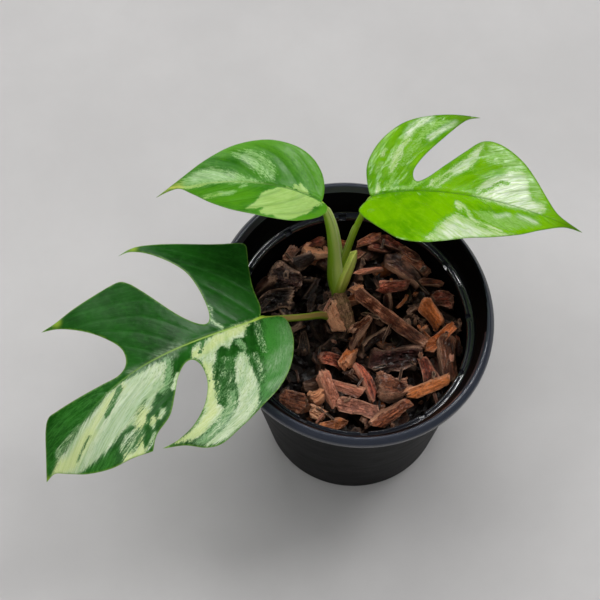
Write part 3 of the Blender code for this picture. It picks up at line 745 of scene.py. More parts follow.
def stalk_material(name, low, high, pale, edge):
    """A juicy stalk: green that changes along it, fine ridges, thin pale wings."""
    n = Nodes(name)
    low, high, pale, edge = (srgb(*colour) for colour in (low, high, pale, edge))
    grain = n.attribute("grain", "Vector")
    ridges = n.noise(grain, (0.05, 2.2, 1))
    blotch = n.noise(grain, 0.28, 4)
    colour = n.mix(n.step(n.attribute("share"), 0.0, 0.75), low, high)
    colour = n.mix(n.times(n.attribute("pale"), 0.75), colour, pale)
    colour = n.mix(n.step(ridges, 0.5, 0.75, 0, 0.35), colour, pale)
    colour = n.mix(n.step(blotch, 0.58, 0.75, 0, 0.12), colour, edge)
    colour = n.mix(n.attribute("edge"), colour, edge)
    normal = n.bump(n.noise(grain, 3.5, 2), 0.12, 0.06, n.bump(ridges, 0.35, 0.2))
    return n.close(colour, n.step(blotch, 0.3, 0.7, 0.34, 0.5), normal, Subsurface_Weight=0.1,
                   Subsurface_Radius=(0.5, 0.8, 0.2), Subsurface_Scale=0.0015)


def dry_material():
    """The old stem's skin: dead brown cork, cracked across and frayed along."""
    n = Nodes("dry_stem")
    grain = n.attribute("grain", "Vector")
    frays = n.noise(grain, (0.3, 1.6, 1), 5, 0.7)
    cracks = n.noise(grain, (1.6, 0.5, 1), 4, 0.7)
    colour = n.mix(n.step(frays, 0.35, 0.65), srgb(76, 54, 38), srgb(164, 124, 92))
    colour = n.mix(n.step(cracks, 0.5, 0.7, 0, 0.7), colour, srgb(204, 156, 122))
    colour = n.mix(n.times(n.attribute("pale"), 0.5), colour, srgb(96, 92, 52))
    colour = n.mix(n.step(cracks, 0.44, 0.32, 0, 0.8), colour, srgb(20, 13, 9))
    normal = n.bump(cracks, 0.9, 0.6, n.bump(frays, 0.9, 0.7))
    return n.close(colour, n.step(frays, 0.3, 0.7, 0.55, 0.85), normal, Specular_IOR_Level=0.3)


def floor_material():
    n = Nodes("floor")
    cloud = n.noise(n.place(), 9, 5, 0.6)
    colour = n.mix(n.step(cloud, 0.3, 0.7), srgb(196, 194, 193), srgb(204, 202, 201))
    return n.close(colour, 0.85, None, Specular_IOR_Level=0.1)


# Turned and swept shapes


def rounded(profile, radius, steps=4):
    """The profile again with each inner corner rounded by a short curve."""
    points = [np.array(p, float) for p in profile]
    found = [points[0]]
    for before, corner, after in zip(points, points[1:], points[2:]):
        back, on = before - corner, after - corner
        cut = min(radius, 0.45 * np.linalg.norm(back), 0.45 * np.linalg.norm(on))
        start, end = corner + unit(back) * cut, corner + unit(on) * cut
        for t in np.linspace(0, 1, steps):
            found.append((1 - t) ** 2 * start + 2 * t * (1 - t) * corner + t * t * end)
    return np.array([*found, points[-1]])


def tube(rings, start, end):
    """Points and faces of a closed tube through rings of points, with a point at each end."""
    count, around, _ = rings.shape
    i = np.arange(around)
    j = np.roll(i, -1)
    low = around * np.arange(count - 1)[:, None]
    quads = np.stack([low + i, low + j, low + around + j, low + around + i], -1).reshape(-1, 4)
    last = count * around
    top = last - around
    first_cap = np.stack([j, i, 0 * i + last], 1)
    last_cap = np.stack([top + i, top + j, 0 * i + last + 1], 1)
    return np.vstack([rings.reshape(-1, 3), start, end]), [*quads, *first_cap, *last_cap]


def lathe(profile, steps):
    """Points and faces of a solid turned about Z, whose profile starts and ends on the axis."""
    turn = np.linspace(0, 2 * math.pi, steps, endpoint=False)
    reach, height = np.array(profile[1:-1]).T[..., None]
    rings = np.stack([reach * np.cos(turn), reach * np.sin(turn), height + 0 * turn], -1)
    points, faces = tube(rings, (0, 0, profile[0][1]), (0, 0, profile[-1][1]))
    return points, [face[[0, 3, 2, 1]] if len(face) == 4 else face[::-1] for face in faces]


def pressed_oval(points):
    """The soft pot is a little oval at its mouth and round at its base."""
    turn = math.radians(POT_OVAL_HEADING)
    cos, sin = math.cos(turn), math.sin(turn)
    squeeze = POT_OVAL * points[:, 2] / POT_HEIGHT
    wide = (points[:, 0] * cos + points[:, 1] * sin) * (1 + squeeze)
    slim = (points[:, 1] * cos - points[:, 0] * sin) * (1 - squeeze)
    return np.stack([wide * cos - slim * sin, wide * sin + slim * cos, points[:, 2]], axis=1)


# Pot


def cutters(count, first, at, size):
    """A ring of Boolean cutters: blocks, or cylinders where size is a radius and a depth."""
    found = []
    for i in range(count):
        shape = bmesh.new()
        if len(size) == 2:
            bmesh.ops.create_cone(shape, cap_ends=True, segments=40, radius1=size[0],
                                  radius2=size[0], depth=size[1])
        else:
            bmesh.ops.create_cube(shape, size=1)
            shape.transform(Matrix.Diagonal((*size, 1)))
        turn = Matrix.Rotation(2 * math.pi * (i + first) / count, 4, "Z")
        shape.transform(Matrix.Scale(MM, 4) @ turn @ Matrix.Translation(at))
        mesh = bpy.data.meshes.new("cutter")
        shape.to_mesh(mesh)
        shape.free()
        found.append(link("cutter", mesh))
    return found


def cut(obj, tools):
    """Cuts all the tools from obj, which keeps the result, and removes them."""
    group = bpy.data.collections.new("cutters")
    for each in tools:
        group.objects.link(each)
    made = obj.modifiers.new("cut", "BOOLEAN")
    made.operation = "DIFFERENCE"
    made.operand_type = "COLLECTION"
    made.collection = group
    bpy.context.view_layer.update()
    graph = bpy.context.evaluated_depsgraph_get()
    mesh = bpy.data.meshes.new_from_object(obj.evaluated_get(graph))
    obj.modifiers.clear()
    obj.data = mesh
    for each in tools:
        bpy.data.objects.remove(each)
    bpy.data.collections.remove(group)


def pot():
    base, shelf, top = BASE_RADIUS, SHELF_RADIUS, SHELF_HEIGHT
    inside = [
        (0, FLOOR), (base - 3.4, FLOOR), (base - 1.7, FLOOR + 1.6), (WALL_RADIUS, WALL_TOP),
        (shelf, top - 1.8), (shelf - 0.1, top - 0.4), (shelf + 0.25, top + 0.45),
        (shelf + 1.0, top + 0.45), (shelf + 1.4, top), (SHELF_WALL_RADIUS, top), (52.9, 94.0),
        (56.0, 100.0),
    ]
    outside = [
        (MOUTH_RADIUS, POT_HEIGHT), (MOUTH_RADIUS + 1.2, POT_HEIGHT), (LIP_RADIUS - 0.3, 101.0),
        (LIP_RADIUS, 100.4), (LIP_RADIUS, 98.4), (COLLAR_RADIUS, 98.1),
        (COLLAR_RADIUS - 0.2, 94.4), (COLLAR_RADIUS - 0.8, 93.9), (NECK_RADIUS + 0.6, 93.7),
        (NECK_RADIUS, 92.9), (base, 1.4), (base - 1.3, 0), (base - 4.2, 0), (base - 5.0, 0.5),
        (6, 0.5), (5.4, 0.2), (0, 0.2),
    ]
    points, faces = lathe(rounded(inside + outside, 0.5), POT_STEPS)
    materials = [
        plastic_material("black_plastic", (7, 7, 8), (24, 24, 25), 0.44, 0.04),
        # The lip and the shelf are the same black plastic, glossier and painted lighter grey for
        # the light they catch.
        plastic_material("rim_painted_light", (54, 58, 68), (78, 79, 86), 0.15, 0.6),
        plastic_material("shelf_painted_light", (34, 36, 42), (70, 71, 78), 0.1, 0.9),
    ]
    obj = piece("nursery_pot", "pot", points, faces, materials)
    notches = cutters(NOTCH_COUNT, 0, (shelf + 0.8, 0, top), NOTCH_SIZE)
    cut(obj, notches + cutters(DRAIN_COUNT, 0.5, (DRAIN_CIRCLE, 0, 0), (DRAIN_RADIUS, 4 * FLOOR)))
    mesh = obj.data
    places = np.empty(len(mesh.vertices) * 3, np.float32)
    mesh.vertices.foreach_get("co", places)
    places = pressed_oval(places.reshape(-1, 3).astype(float) / MM) * MM
    mesh.vertices.foreach_set("co", places.astype(np.float32).ravel())
    for face in mesh.polygons:
        x, y, z = face.center / MM
        on_lip = z > 98.2 and math.hypot(x, y) > MOUTH_RADIUS - 1.5
        on_shelf = top - 2.2 < z < top + 0.6 and math.hypot(x, y) < NECK_RADIUS
        face.material_index = 1 if on_lip else 2 if on_shelf else 0
    mesh.shade_smooth()
    mesh.set_sharp_from_angle(angle=math.radians(POT_SHARP))
    edges = obj.modifiers.new("edges", "BEVEL")
    edges.width = POT_BEVEL * MM
    edges.segments = 2
    edges.limit_method = "ANGLE"
    edges.angle_limit = math.radians(50)


# Bark


def box_shell(counts):
    """Unit points and faces of a box whose sides are divided into counts."""
    index, faces = {}, []
    for axis in range(3):
        u, v = (axis + 1) % 3, (axis + 2) % 3
        for end in (0, counts[axis]):
            for i, j in np.ndindex(counts[u], counts[v]):
                ring = []
                for di, dj in ((0, 0), (1, 0), (1, 1), (0, 1)):
                    where = [0, 0, 0]
                    where[axis], where[u], where[v] = end, i + di, j + dj
                    ring.append(index.setdefault(tuple(where), len(index)))
                faces.append(ring if end else ring[::-1])
    return 2 * np.array(list(index), float) / counts - 1, np.array(faces)


CHIP_SHELL, MIDDLE_SHELL, DEEP_SHELL, SLIVER_SHELL, CRUMB_SHELL = (
    box_shell(counts) for counts in ((38, 15, 6), (22, 9, 4), (14, 6, 3), (9, 3, 2), (3, 3, 2))
)


def trimmed(points, half, facing, share):
    """The points of a chip, pressed back to a plane that faces one way and cuts a corner off."""
    facing = unit(np.array(facing, float))
    beyond = points @ facing - np.abs(facing * half).sum() * share
    return points - np.maximum(beyond, 0)[:, None] * facing


def chip(shell, size, draw):
    """A torn piece of bark about its own centre: points, where its grain is, crust, torn edges."""
    length, width, thick = size
    a, b, c = shell.T
    seed = draw.randrange(10000)
    shift = np.array([draw.uniform(0, 500) for _ in range(3)])

    def at(*columns):
        return np.stack(np.broadcast_arrays(*columns), 1) + shift

    fibre = rough(at(b * width * 0.45, c * thick * 0.5, a > 0), seed)
    splinter = value_noise(at(b * width * 1.1, c * thick * 0.8, a > 0), seed + 4)
    slant = np.where(a > 0, draw.uniform(-0.4, 0.4), draw.uniform(-0.4, 0.4))
    over = 0.16 * fibre + 3.0 * splinter / length + slant * b * width / max(length, width)
    x = length / 2 * a * (1 + over * np.abs(a) ** 3)
    side = value_noise(at(a * length * 0.12, b > 0, 0), seed + 5)
    taper = 1 - draw.uniform(0, 0.55) * (1 + a * draw.choice((-1, 1))) / 2
    y = width / 2 * b * (1 + 0.2 * side * np.abs(b)) * taper
    layers = np.round(value_noise(at(x * 0.1, y * 0.4, c), seed + 7) * 2.5)
    z = thick / 2 * c * (0.6 + 0.4 * taper) + layers * 0.13 * thick * c
    points = np.stack([x, y, z], 1)
    half = np.array(size) / 2
    for sign_x, sign_y in 3 * ((1, 1), (1, -1), (-1, 1), (-1, -1)):
        steep = draw.uniform(-1.0, 1.0)
        facing = (sign_x * draw.uniform(0.0, 1.2), sign_y * draw.uniform(0.3, 1.1), steep)
        points = trimmed(points, half, facing, draw.uniform(0.66, 0.98))
    for _ in range(3):
        facing = (draw.gauss(0, 0.2), draw.gauss(0, 0.5), draw.choice((-1, 1)))
        points = trimmed(points, half, facing, draw.uniform(0.66, 0.92))
    points[:, 1] += draw.uniform(-0.16, 0.16) * width * a * a
    points[:, 2] += draw.uniform(-0.12, 0.2) * width * (1 - b * b)
    points[:, 2] += draw.uniform(-0.05, 0.05) * length * a * a
    points[:, 2] += 0.12 * width * value_noise(points * (0.16, 0.2, 0) + shift, seed + 6)
    twist = draw.uniform(-0.4, 0.4) * a
    x, y, z = points.T
    cos, sin = np.cos(twist), np.sin(twist)
    points = np.stack([x, y * cos - z * sin, z * cos + y * sin], 1)
    fine = points * (0.22, 1.3, 1.3) + shift
    ridges = 1 - 2.4 * np.abs(rough(fine + 40, seed + 9))
    points[:, 1] += 0.03 * width * rough(fine, seed + 8)
    points[:, 2] += 0.11 * thick * ridges * np.sign(c + 0.01)
    crust = np.clip(c, 0, 1) * (draw.random() < 0.5)
    torn = np.clip(np.maximum(np.abs(a) ** 12, np.abs(b) ** 8), 0, 1)
    return points, points + shift, crust, torn


class Pile:
    """Bark chips dropped on a bed, with the height reached so far kept on a 1 mm grid."""

    SIDE = 112

    def __init__(self, draw):
        self.draw = draw
        self.height = np.full((self.SIDE, self.SIDE), BED_TOP)
        self.groups = {}

    def cells(self, points):
        at = np.clip(np.round(points[:, :2] + self.SIDE / 2).astype(int), 0, self.SIDE - 1)
        return tuple(at.T)

    def envelope(self, cells, heights, pick, empty):
        """The lowest or highest point over each cell."""
        found = np.full(self.height.shape, empty)
        pick.at(found, cells, heights)
        return found

    def drop(self, group, shell, size, at, angles, tone, limit, sink=80):
        """Lays a chip on the slope below it, within the pot's wall and under the limit."""
        shell, faces = shell
        points, *marks = chip(shell, size, self.draw)
        turn = Matrix.Identity(3)
        for angle, axis in zip(angles, "ZYX"):
            turn = turn @ Matrix.Rotation(math.radians(angle), 3, axis)
        points = points @ np.array(turn).T + np.array([*at, 0])
        oval = math.cos(2 * (math.atan2(at[1], at[0]) - math.radians(POT_OVAL_HEADING)))
        wall = WALL_RADIUS * (0.99 + 0.8 * POT_OVAL * oval)
        over = max(np.hypot(points[:, 0], points[:, 1]).max() - wall, 0)
        points[:, :2] -= np.array(at) / max(math.hypot(*at), 1) * over
        cells = self.cells(points)
        plane = np.stack([points[:, 0], points[:, 1], np.ones(len(points))], 1)
        slope = np.linalg.lstsq(plane, self.height[cells], rcond=None)[0][:2]
        slope = np.clip(slope, -0.45, 0.45) * 0.7
        points[:, 2] += (points[:, :2] - points[:, :2].mean(0)) @ slope
        low = self.envelope(cells, points[:, 2], np.minimum, 1e9)
        rise = np.percentile((self.height - low)[low < 1e8], sink)
        points[:, 2] += min(rise, limit - points[:, 2].max())
        inner = BASE_RADIUS - 2.2 + (WALL_RADIUS - BASE_RADIUS + 1.7) * points[:, 2] / WALL_TOP
        turned = np.arctan2(points[:, 1], points[:, 0]) - math.radians(POT_OVAL_HEADING)
        inner *= 1 + POT_OVAL * points[:, 2] / POT_HEIGHT * np.cos(2 * turned)
        reach = np.hypot(points[:, 0], points[:, 1])
        points[:, :2] *= np.minimum(1, (inner - 0.6) / np.maximum(reach, 1))[:, None]
        high = self.envelope(cells, points[:, 2], np.maximum, -1e9)
        self.height = np.maximum(self.height, high)
        self.keep(group, points, faces, *marks, tone)

    def keep(self, group, points, faces, grain, crust, torn, tone):
        """Stores a chip with its tint: random, darker on lower chips, and darker in the darkened
        spots.
        """
        on_top = group == "bark_top"
        colour, strength, bare = BARK_TONES[tone]
        value = self.draw.uniform(1.0, 2.6) if on_top else self.draw.uniform(0.15, 1.1)
        value *= strength
        middle = points.mean(0)
        for x, y, reach, depth in DARKENED_SPOTS[:1] if on_top else DARKENED_SPOTS:
            value *= 1 - depth * hill(math.hypot(middle[0] - x, middle[1] - y), reach)
        warm = self.draw.uniform(1.0, 1.18)
        tint = np.array(srgb(*colour)) * (value * warm, value, value / warm, 1)
        tint[:3] *= min(1, 1.0 / tint[:3].max())
        if bare == 1:
            crust = crust * 0.2
        stored = self.groups.setdefault(group, [])
        faces = faces + sum(len(row[0]) for row in stored)
        tints, bares = np.tile(tint, (len(points), 1)), np.full(len(points), float(bare))
        stored.append((points, faces, grain, crust, torn, tints, bares))

    def build(self, group, material):
        """Makes a group one piece, with painted shade where it lies low or down between other
        chips.
        """
        rows = [np.concatenate(row) for row in zip(*self.groups[group])]
        points, faces, grain, crust, torn, tint, bare = rows
        near = [(i, j) for i in range(-5, 6) for j in range(-5, 6)
                if math.hypot(i, j) < SHELTER_REACH]
        around = np.mean([np.roll(self.height, step, (0, 1)) for step in near], axis=0)
        z = points[:, 2]
        shelter = np.clip((around[self.cells(points)] + 1.3 - z) / 3.4, 0, 0.93)
        sunk = np.maximum(np.clip((SHADED_BELOW[group] - z) / 6, 0, 1), shelter) * (1 - 0.6 * bare)
        piece(group, "bark", points, faces, [material], BARK_SHARP, grain=grain, crust=crust,
              torn=torn, tint=tint, sunk=sunk, bare=bare)


def bark_bed(material):
    """The bed under the chips: packed fine bark, lumpy on top."""
    profile = [(0, FLOOR + 0.4), (BASE_RADIUS - 4, FLOOR + 0.4), (BASE_RADIUS - 2.2, FLOOR + 2),
               (BED_RADIUS, BED_TOP)]
    top = [(BED_RADIUS * r, BED_TOP) for r in np.linspace(1, 0, 40)]
    points, faces = lathe([*rounded(profile, 1.0, 3)[:-1], *top], 150)
    points = pressed_oval(points)
    lumps = 2.0 * rough(points * 0.35, 31, 4) - 0.8
    points[:, 2] += np.where(points[:, 2] > BED_TOP - 0.5, lumps, 0)
    none = np.zeros(len(points))
    # Painted shade, darker the deeper the bed lies.
    sunk = np.clip((76 - points[:, 2]) / 6, 0, 1) * (points[:, 2] > 40)
    piece("bark_bed", "bark", points, [face[::-1] for face in faces], [material],
          grain=points * 2.5, crust=none, torn=none, sunk=sunk,
          tint=none[:, None] + srgb(88, 56, 42))


def bark():
    draw = random.Random(CHIP_SEED)
    finish = bark_material()
    bark_bed(finish)
    pile = Pile(draw)

    def anywhere(reach):
        turn = draw.uniform(0, 2 * math.pi)
        return reach * math.cos(turn), reach * math.sin(turn)

    def scatter(slivers, crumbs, limit):
        for _ in range(slivers):
            size = (draw.uniform(4, 11), draw.uniform(0.8, 1.8), draw.uniform(0.6, 1.2))
            tone = draw.choice(BIT_TONES)
            at = anywhere(CHIP_CIRCLE * math.sqrt(draw.random()))
            angles = (draw.uniform(0, 180), draw.gauss(0, 8), 0)
            pile.drop("bark_bits", SLIVER_SHELL, size, at, angles, tone, limit, 60)
        for _ in range(crumbs):
            side = draw.uniform(0.7, 2.2)
            size = (side * draw.uniform(1, 1.8), side, side * 0.7)
            tone = draw.choice(BIT_TONES)
            at = anywhere(CRUMB_CIRCLE * math.sqrt(draw.random()))
            angles = (draw.uniform(0, 180), draw.gauss(0, 20), draw.gauss(0, 20))
            pile.drop("bark_bits", CRUMB_SHELL, size, at, angles, tone, limit, 45)

    def spread(count, group, shell, longest, limit):
        for i in range(count):
            reach = CHIP_CIRCLE * math.sqrt((i + 0.5) / count)
            turn = math.radians(137.5 * i + draw.uniform(-20, 20))
            size = (draw.uniform(7, longest), draw.uniform(3, 7), draw.uniform(1.8, 4))
            at = (reach * math.cos(turn), reach * math.sin(turn))
            angles = (draw.uniform(0, 180), draw.gauss(0, 20), draw.gauss(0, 32))
            tone = draw.choice(DEEP_TONES)
            pile.drop(group, shell, size, at, angles, tone, limit - draw.uniform(0, 4), 65)

    spread(DEEP_CHIPS, "bark_deep", DEEP_SHELL, 17, DEEP_LIMIT)
    scatter(SLIVERS // 2, CRUMBS // 2, DEEP_LIMIT)
    spread(MIDDLE_CHIPS, "bark_middle", MIDDLE_SHELL, 15, MIDDLE_LIMIT)
    scatter(SLIVERS // 2, CRUMBS // 2, MIDDLE_LIMIT)
    for row in TOP_CHIPS.strip().splitlines():
        *numbers, tone = row.split()
        x, y, length, width, thick, heading, tilt, roll = map(float, numbers)
        pile.drop("bark_top", CHIP_SHELL, (length, width, thick), (x, y),
                  (heading, 1.5 * tilt, 2 * roll), tone, TOP_LIMIT - draw.uniform(0, 2))
    scatter(SLIVERS // 4, CRUMBS // 10, TOP_LIMIT)
    for group in SHADED_BELOW:
        pile.build(group, finish)


# Stalks


def sweep(name, node, path, open_to, section, material, steps=16, lumps=0.025, around=56):
    """A stalk along a smooth line through (x, y, z, radius) points. section gives, for each place
    along it and each angle from the open side, how far the skin stands out, and its two tints."""
    line = spline(path, steps=steps)
    centre, radius = line[:, :3], line[:, 3]
    tangent = unit(np.gradient(centre, axis=0))
    run = lengths_along(centre)
    side = unit(open_to - (tangent @ np.array(open_to, float))[:, None] * tangent)
    other = np.cross(tangent, side)
    turn = np.linspace(-math.pi, math.pi, around, endpoint=False)
    share, angle = np.broadcast_arrays((run / run[-1])[:, None], turn)
    reach, pale, edge = section(share, angle)
    skin = np.stack(np.broadcast_arrays(run[:, None], turn * 3, 0), -1).reshape(-1, 3)
    reach = reach * (1 + lumps * rough(skin * (0.25, 1.2, 1), 3).reshape(reach.shape))
    out = np.cos(turn)[:, None] * side[:, None] + np.sin(turn)[:, None] * other[:, None]
    rings = centre[:, None] + (radius[:, None] * reach)[..., None] * out
    points, faces = tube(rings, centre[0], centre[-1])
    piece(name, node, points, faces, [material],
          grain=np.vstack([skin, (run[0], 0, 0), (run[-1], 0, 0)]), share=np.append(share, (0, 1)),
          pale=np.append(pale, (0, 0)), edge=np.append(edge, (0, 0)))


def winged(strength, ligule, gape=0.5):
    """A section with two thin wings and a channel between them, which end in a step at ligule."""

    def section(share, angle):
        wings = strength * ramp(share, 0.12, 0.4) * (1 - ramp(share, ligule, ligule + 0.03))
        reach = 0.84 - 0.16 * np.cos(angle) + wings * (0.46 * hill(np.abs(angle) - gape, 0.17))
        reach -= wings * 0.42 * hill(angle, gape * 0.6)
        edge = wings * hill(np.abs(angle) - gape, 0.07) * 0.8
        return reach, wings * ramp(np.cos(angle), -0.35, 0.5), edge

    return section


def boat(share, angle):
    """The sheath: a thin boat that closes round the shoot's base and ends in a dry point."""
    opened = ramp(share, 0.1, 0.45)
    lips = hill(np.abs(angle) - 0.75, 0.2)
    reach = 0.88 + 0.26 * opened * lips - 0.5 * opened * hill(angle, 0.5)
    return reach, ramp(share, 0.3, 0.9), 0.6 * opened * hill(np.abs(angle) - 0.75, 0.1)


def channelled(share, angle):
    """The left stalk: round with a shallow channel on top, browned there."""
    reach = (1 - 0.16 * hill(angle, 0.5)) * (1 + 0.12 * hill(share - 0.93, 0.05))
    edge = 0.75 * ramp(np.cos(angle), 0.45, 0.95) * (1 - ramp(share, 0.7, 0.95))
    return reach, ramp(share, 0.8, 1.0), edge


def knotted(share, angle):
    """The old stem: dry, ringed by leaf scars and shrunk into ridges."""
    rings = hill((share * 5.2) % 1 - 0.5, 0.12)
    reach = 0.92 + 0.1 * rings + 0.06 * np.sin(angle * 7 + share * 9)
    return reach, 0.6 * rings, 0 * share


def stalks():
    green = stalk_material(
        "green_stalk", (94, 128, 2), (166, 218, 48), (222, 240, 140), (240, 236, 196)
    )
    deep = stalk_material(
        "deep_stalk", (112, 150, 4), (132, 172, 10), (190, 214, 80), (240, 238, 196)
    )
    olive = stalk_material(
        "olive_stalk", (120, 156, 30), (136, 172, 44), (168, 200, 66), (140, 92, 66)
    )
    pale = stalk_material(
        "sheath", (104, 134, 6), (232, 246, 100), (236, 248, 130), (214, 224, 120)
    )
    middle, right = (
        stalk + [on_blade(leaf, 0.5, -1.3, 1.3), on_blade(leaf, 5, -0.9, 0.7)]
        for stalk, leaf in ((SHOOT, MIDDLE_BLADE), (RIGHT_STALK, RIGHT_BLADE))
    )
    left = LEFT_STALK + [on_blade(LEFT_BLADE, 0, -1.3, 1.5), on_blade(LEFT_BLADE, 6, -0.9, 0.8)]
    sweep("middle_leaf_stalk", "shoot", middle, (1, -0.25, 0.1), winged(1.0, 0.87), green)
    sweep("right_leaf_stalk", "shoot", right, (-1, -0.3, 0.3), winged(0.55, 0.66, 0.4), deep)
    sweep("shoot_sheath", "shoot", SHEATH, (-0.6, -0.5, 0.6), boat, pale)
    sweep("left_leaf_stalk", "left_stalk", left, (0.2, -0.3, 1), channelled, olive)
    sweep("dry_old_stem", "old_stem", OLD_STEM, (0, 0, 1), knotted, dry_material(), 24, 0.14)


# Leaf blades


def bend_of(leaf, x):
    along = np.clip(x / leaf["length"], 0, 1)
    return leaf["bend"] * np.sin(math.pi * along ** leaf["bend_power"])


def height(leaf, x, y):
    """How far the blade stands off its flat outline, as in the CAD."""
    along = x / leaf["length"]
    across = y - bend_of(leaf, x)
    slope = np.where(across > 0, *leaf["fold"])
    ease = np.where(across > 0, *leaf["ease"])
    groove = leaf["groove"]
    fold = slope * (np.hypot(across, groove) - groove) - ease * across**2
    fold *= 1 - 0.35 * np.clip(along, 0, 1) ** 2
    arch = 4 * leaf["arch"] * along * (1 - along) - leaf["droop"] * np.maximum(along, 0) ** 3
    wave = np.sin(2 * math.pi * x / leaf["ripple_length"] + 1.2 * np.sign(across))
    return arch + fold + leaf["ripple"] * wave * np.minimum(np.abs(across) / 30, 1.5) ** 1.5


def blade_matrix(leaf):
    turn = Matrix.Rotation(math.radians(leaf["heading"]), 4, "Z")
    turn = turn @ Matrix.Rotation(math.radians(-leaf["pitch"]), 4, "Y")
    return np.array(Matrix.Translation(leaf["at"]) @ turn)


def on_blade(leaf, x, lift, radius):
    """A stalk's point over (or under) the midrib at x, with its radius."""
    y = float(bend_of(leaf, x))
    local = np.array([x, y, float(height(leaf, np.float64(x), np.float64(y))) + lift, 1])
    return (*(blade_matrix(leaf) @ local)[:3], radius)


def vein_start(leaf, x, across, steps=40):
    """Where on the midrib the vein through each point starts, traced back along the veins."""
    here, out = x, np.abs(across)
    stride = out / steps
    for _ in range(steps):
        slopes = []
        for reach, lean in zip(leaf["reach"], leaf["lean"]):
            places, reach = np.array(reach).T
            lean = np.interp(here, *np.array(lean).T)
            grow = (np.interp(here + 1, places, reach) - np.interp(here - 1, places, reach)) / 2
            part = np.clip(out / np.interp(here, places, reach), 0, 1)
            outer = leaf["hug"] * np.minimum(grow, 1.0) + (1 - leaf["hug"]) * lean
            slopes.append(lean * (1 - part) + outer * part)
        here = here - stride / np.maximum(np.where(across > 0, *slopes), 0.28)
        out = out - stride
    return here


def leaf_plan(leaf):
    """The blade's flat points and triangles, with finer rows along the midrib."""
    strokes = leaf["outline"]
    outline = []
    for stroke, after in zip(strokes, strokes[1:] + strokes[:1]):
        line = np.vstack([spline(stroke, after[:1]), after[0]])
        outline.append(evenly(line, 0.7))
    outline = np.vstack(outline)
    low, high = outline.min(0), outline.max(0)
    inner = []
    for k, y in enumerate(np.arange(low[1], high[1], LEAF_SPACING * 0.866)):
        xs = np.arange(low[0] + (k % 2) * LEAF_SPACING / 2, high[0], LEAF_SPACING)
        inner.append(np.stack([xs, np.full(len(xs), y)], 1))
    inner = np.vstack(inner)
    inner = inner[np.abs(inner[:, 1] - bend_of(leaf, inner[:, 0])) > 1.15]
    xs = np.arange(low[0], high[0], LEAF_SPACING)
    for off in (-0.9, -0.5, -0.22, 0, 0.22, 0.5, 0.9):
        inner = np.vstack([inner, np.stack([xs, bend_of(leaf, xs) + off], 1)])
    gap, inside = to_segments(inner, outline)
    points = [Vector(p) for p in np.vstack([outline, inner[inside & (gap > 0.35)]])]
    face = [list(range(len(outline)))]
    found, _, triangles, *_ = geometry.delaunay_2d_cdt(points, [], face, 1, 1e-6)
    flat = np.array([tuple(p) for p in found])
    triangles = np.array([t for t in triangles if len(t) == 3])
    corners = flat[triangles]
    area = np.cross(corners[:, 1] - corners[:, 0], corners[:, 2] - corners[:, 0])
    return flat, np.where((area < 0)[:, None], triangles[:, ::-1], triangles), outline


def patch_fields(leaf, flat):
    """Each field's value at each point: above 0 where its patches lie."""
    names = ("cream", "mint", "lime", "yolk", "hole", "haze")
    fields = {name: np.full(len(flat), -6.0) for name in names}
    for name, ragged, most, width, line in leaf["patches"]:
        gap, inside = to_segments(flat, line, not width)
        depth = width - gap if width else np.where(inside, gap, -gap)
        fields[name] = np.maximum(fields[name], np.minimum(depth / ragged, most))
    return fields


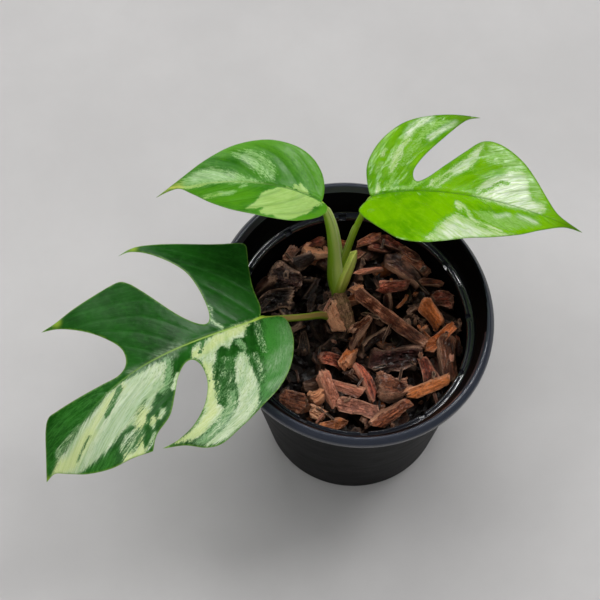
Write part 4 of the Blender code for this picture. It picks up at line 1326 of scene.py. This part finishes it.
def blade(name, leaf, look):
    """A blade with its veins, its groove on top and its rib below."""
    flat, triangles, outline = leaf_plan(leaf)
    x, y = flat.T
    none = 0 * x
    across = y - bend_of(leaf, x)
    out = np.abs(across)
    along = np.clip(x / leaf["length"], 0, 1)
    start = vein_start(leaf, x, across)
    gap = to_segments(flat, outline)[0]

    beat = (start + np.where(across > 0, 2.0, 0.0)) / VEIN_SPACING
    near = np.abs(beat - np.round(beat)) * VEIN_SPACING
    fade = ramp(out, 0.5, 6) * ramp(gap, 0, 5)
    vein = hill(near, 0.8) * ramp(gap, 0, 4) * (out > 0.3)
    middle = height(leaf, x, y) - look["pleat"] * np.cos(2 * math.pi * beat) * fade
    step = 0.05
    run_x = (height(leaf, x + step, y) - height(leaf, x - step, y)) / (2 * step)
    run_y = (height(leaf, x, y + step) - height(leaf, x, y - step)) / (2 * step)
    normal = unit(np.stack([-run_x, -run_y, none + 1], 1))
    place = np.stack([x, y, middle], 1)

    edge = ramp(gap, 0, 1.5)
    rib_size = (1 - along) ** 0.7 * edge
    thick = LEAF_EDGE / 2 + (LEAF_THICKNESS - LEAF_EDGE) / 2 * np.sqrt(np.clip(gap / 0.5, 0, 1))
    lumps = 0.05 * rough(np.stack([x, y, none], 1) * 0.6, 11) * ramp(gap, 0, 2)
    upper = thick + lumps - 0.14 * vein - 0.42 * hill(out, 0.45) * rib_size
    upper += 0.16 * hill(out - 1.2, 0.6) * rib_size
    for bead_x, bead_y, size, rise in leaf["beads"]:
        upper += rise * (1 - ramp(np.hypot(x - bead_x, y - bead_y), 0.4 * size, size))
    lower = thick + 0.22 * vein * (1 - 0.5 * along)
    lower += (0.35 + 0.95 * rib_size) * hill(out, 0.75) * edge
    top = place + normal * np.maximum(upper, -0.2 * thick)[:, None]
    bottom = place - normal * lower[:, None]

    count = len(flat)
    sides = np.vstack([triangles[:, [0, 1]], triangles[:, [1, 2]], triangles[:, [2, 0]]])
    shared = set(map(tuple, sides[:, ::-1]))
    rim = [side for side in map(tuple, sides) if side not in shared]
    faces = [*triangles, *(triangles[:, ::-1] + count)]
    faces += [(b, a, a + count, b + count) for a, b in rim]
    matrix = blade_matrix(leaf)
    points = np.vstack([top, bottom]) @ matrix[:3, :3].T + matrix[:3, 3]

    tips = none
    for point in leaf["tips"]:
        tips = np.maximum(tips, 1 - ramp(np.hypot(*(flat - point).T), 0.3, leaf["tip_reach"]))
    data = {
        "flow": np.stack([start + np.where(across > 0, 0.0, 500.0), out, none], 1),
        "place": np.stack([x, y, none], 1),
        "vein": vein * ramp(out, 0.5, 2),
        "rib": hill(out, 0.42 * (1.15 - along)),
        "along": ramp(along, 0.15, 0.75),
        "rim": 0.7 * (1 - ramp(gap, 0.1, 0.45)),
        "tips": 0.85 * tips,
        **patch_fields(leaf, flat),
    }
    data = {key: np.concatenate([values, values]) for key, values in data.items()}
    title = f"{name}_leaf_blade"
    piece(title, f"{name}_blade", points, faces, [leaf_material(title, look)], LEAF_SHARP,
          under=np.repeat((0.0, 1.0), count), **data)


# Stage


def camera():
    down, roll = math.radians(CAMERA_DOWN), math.radians(CAMERA_ROLL)
    forward = Vector((0, math.cos(down), -math.sin(down)))
    level = Vector((1, 0, 0))
    upright = level.cross(forward)
    right = math.cos(roll) * level + math.sin(roll) * upright
    up = -math.sin(roll) * level + math.cos(roll) * upright
    data = bpy.data.cameras.new("camera")
    data.lens = CAMERA_LENS
    data.sensor_width = SENSOR
    obj = link("camera", data)
    turn = Matrix((right, up, -forward)).transposed().to_4x4()
    obj.matrix_world = Matrix.Translation(Vector(CAMERA_AT) * MM) @ turn
    bpy.context.scene.camera = obj


def softbox(name, at, size, watts, role):
    """A light that faces the pot's mouth. Its role is "lit" or "glint"."""
    data = bpy.data.lights.new(name, "AREA")
    data.shape = "RECTANGLE"
    data.size, data.size_y = size[0] * MM, size[1] * MM
    data.energy = watts
    obj = link(name, data)
    obj.location = Vector(at) * MM
    obj.rotation_mode = "QUATERNION"
    obj.rotation_quaternion = (Vector(LIT_POINT) - Vector(at)).to_track_quat("-Z", "Y")
    obj.visible_glossy = role == "glint"
    obj.visible_diffuse = role == "lit"


def stage():
    world = bpy.data.worlds.new("studio")
    world.use_nodes = True
    background = world.node_tree.nodes["Background"]
    background.inputs["Color"].default_value = (0.93, 0.96, 1.0, 1)
    background.inputs["Strength"].default_value = 0.12
    world.cycles_visibility.glossy = False
    bpy.context.scene.world = world
    for light in LIGHTS:
        softbox(*light)
    bpy.context.scene.view_settings.view_transform = "Standard"

    mesh = bpy.data.meshes.new("floor")
    far = FLOOR_REACH * MM
    corners = [(-far, -far, 0), (far, -far, 0), (far, far, 0), (-far, far, 0)]
    mesh.from_pydata(corners, [], [(0, 1, 2, 3)])
    mesh.materials.append(floor_material())
    link("floor", mesh)


camera()
stage()
pot()
bark()
stalks()
blade("left", LEFT_BLADE, LEFT_LOOK)
blade("middle", MIDDLE_BLADE, MIDDLE_LOOK)
blade("right", RIGHT_BLADE, RIGHT_LOOK)
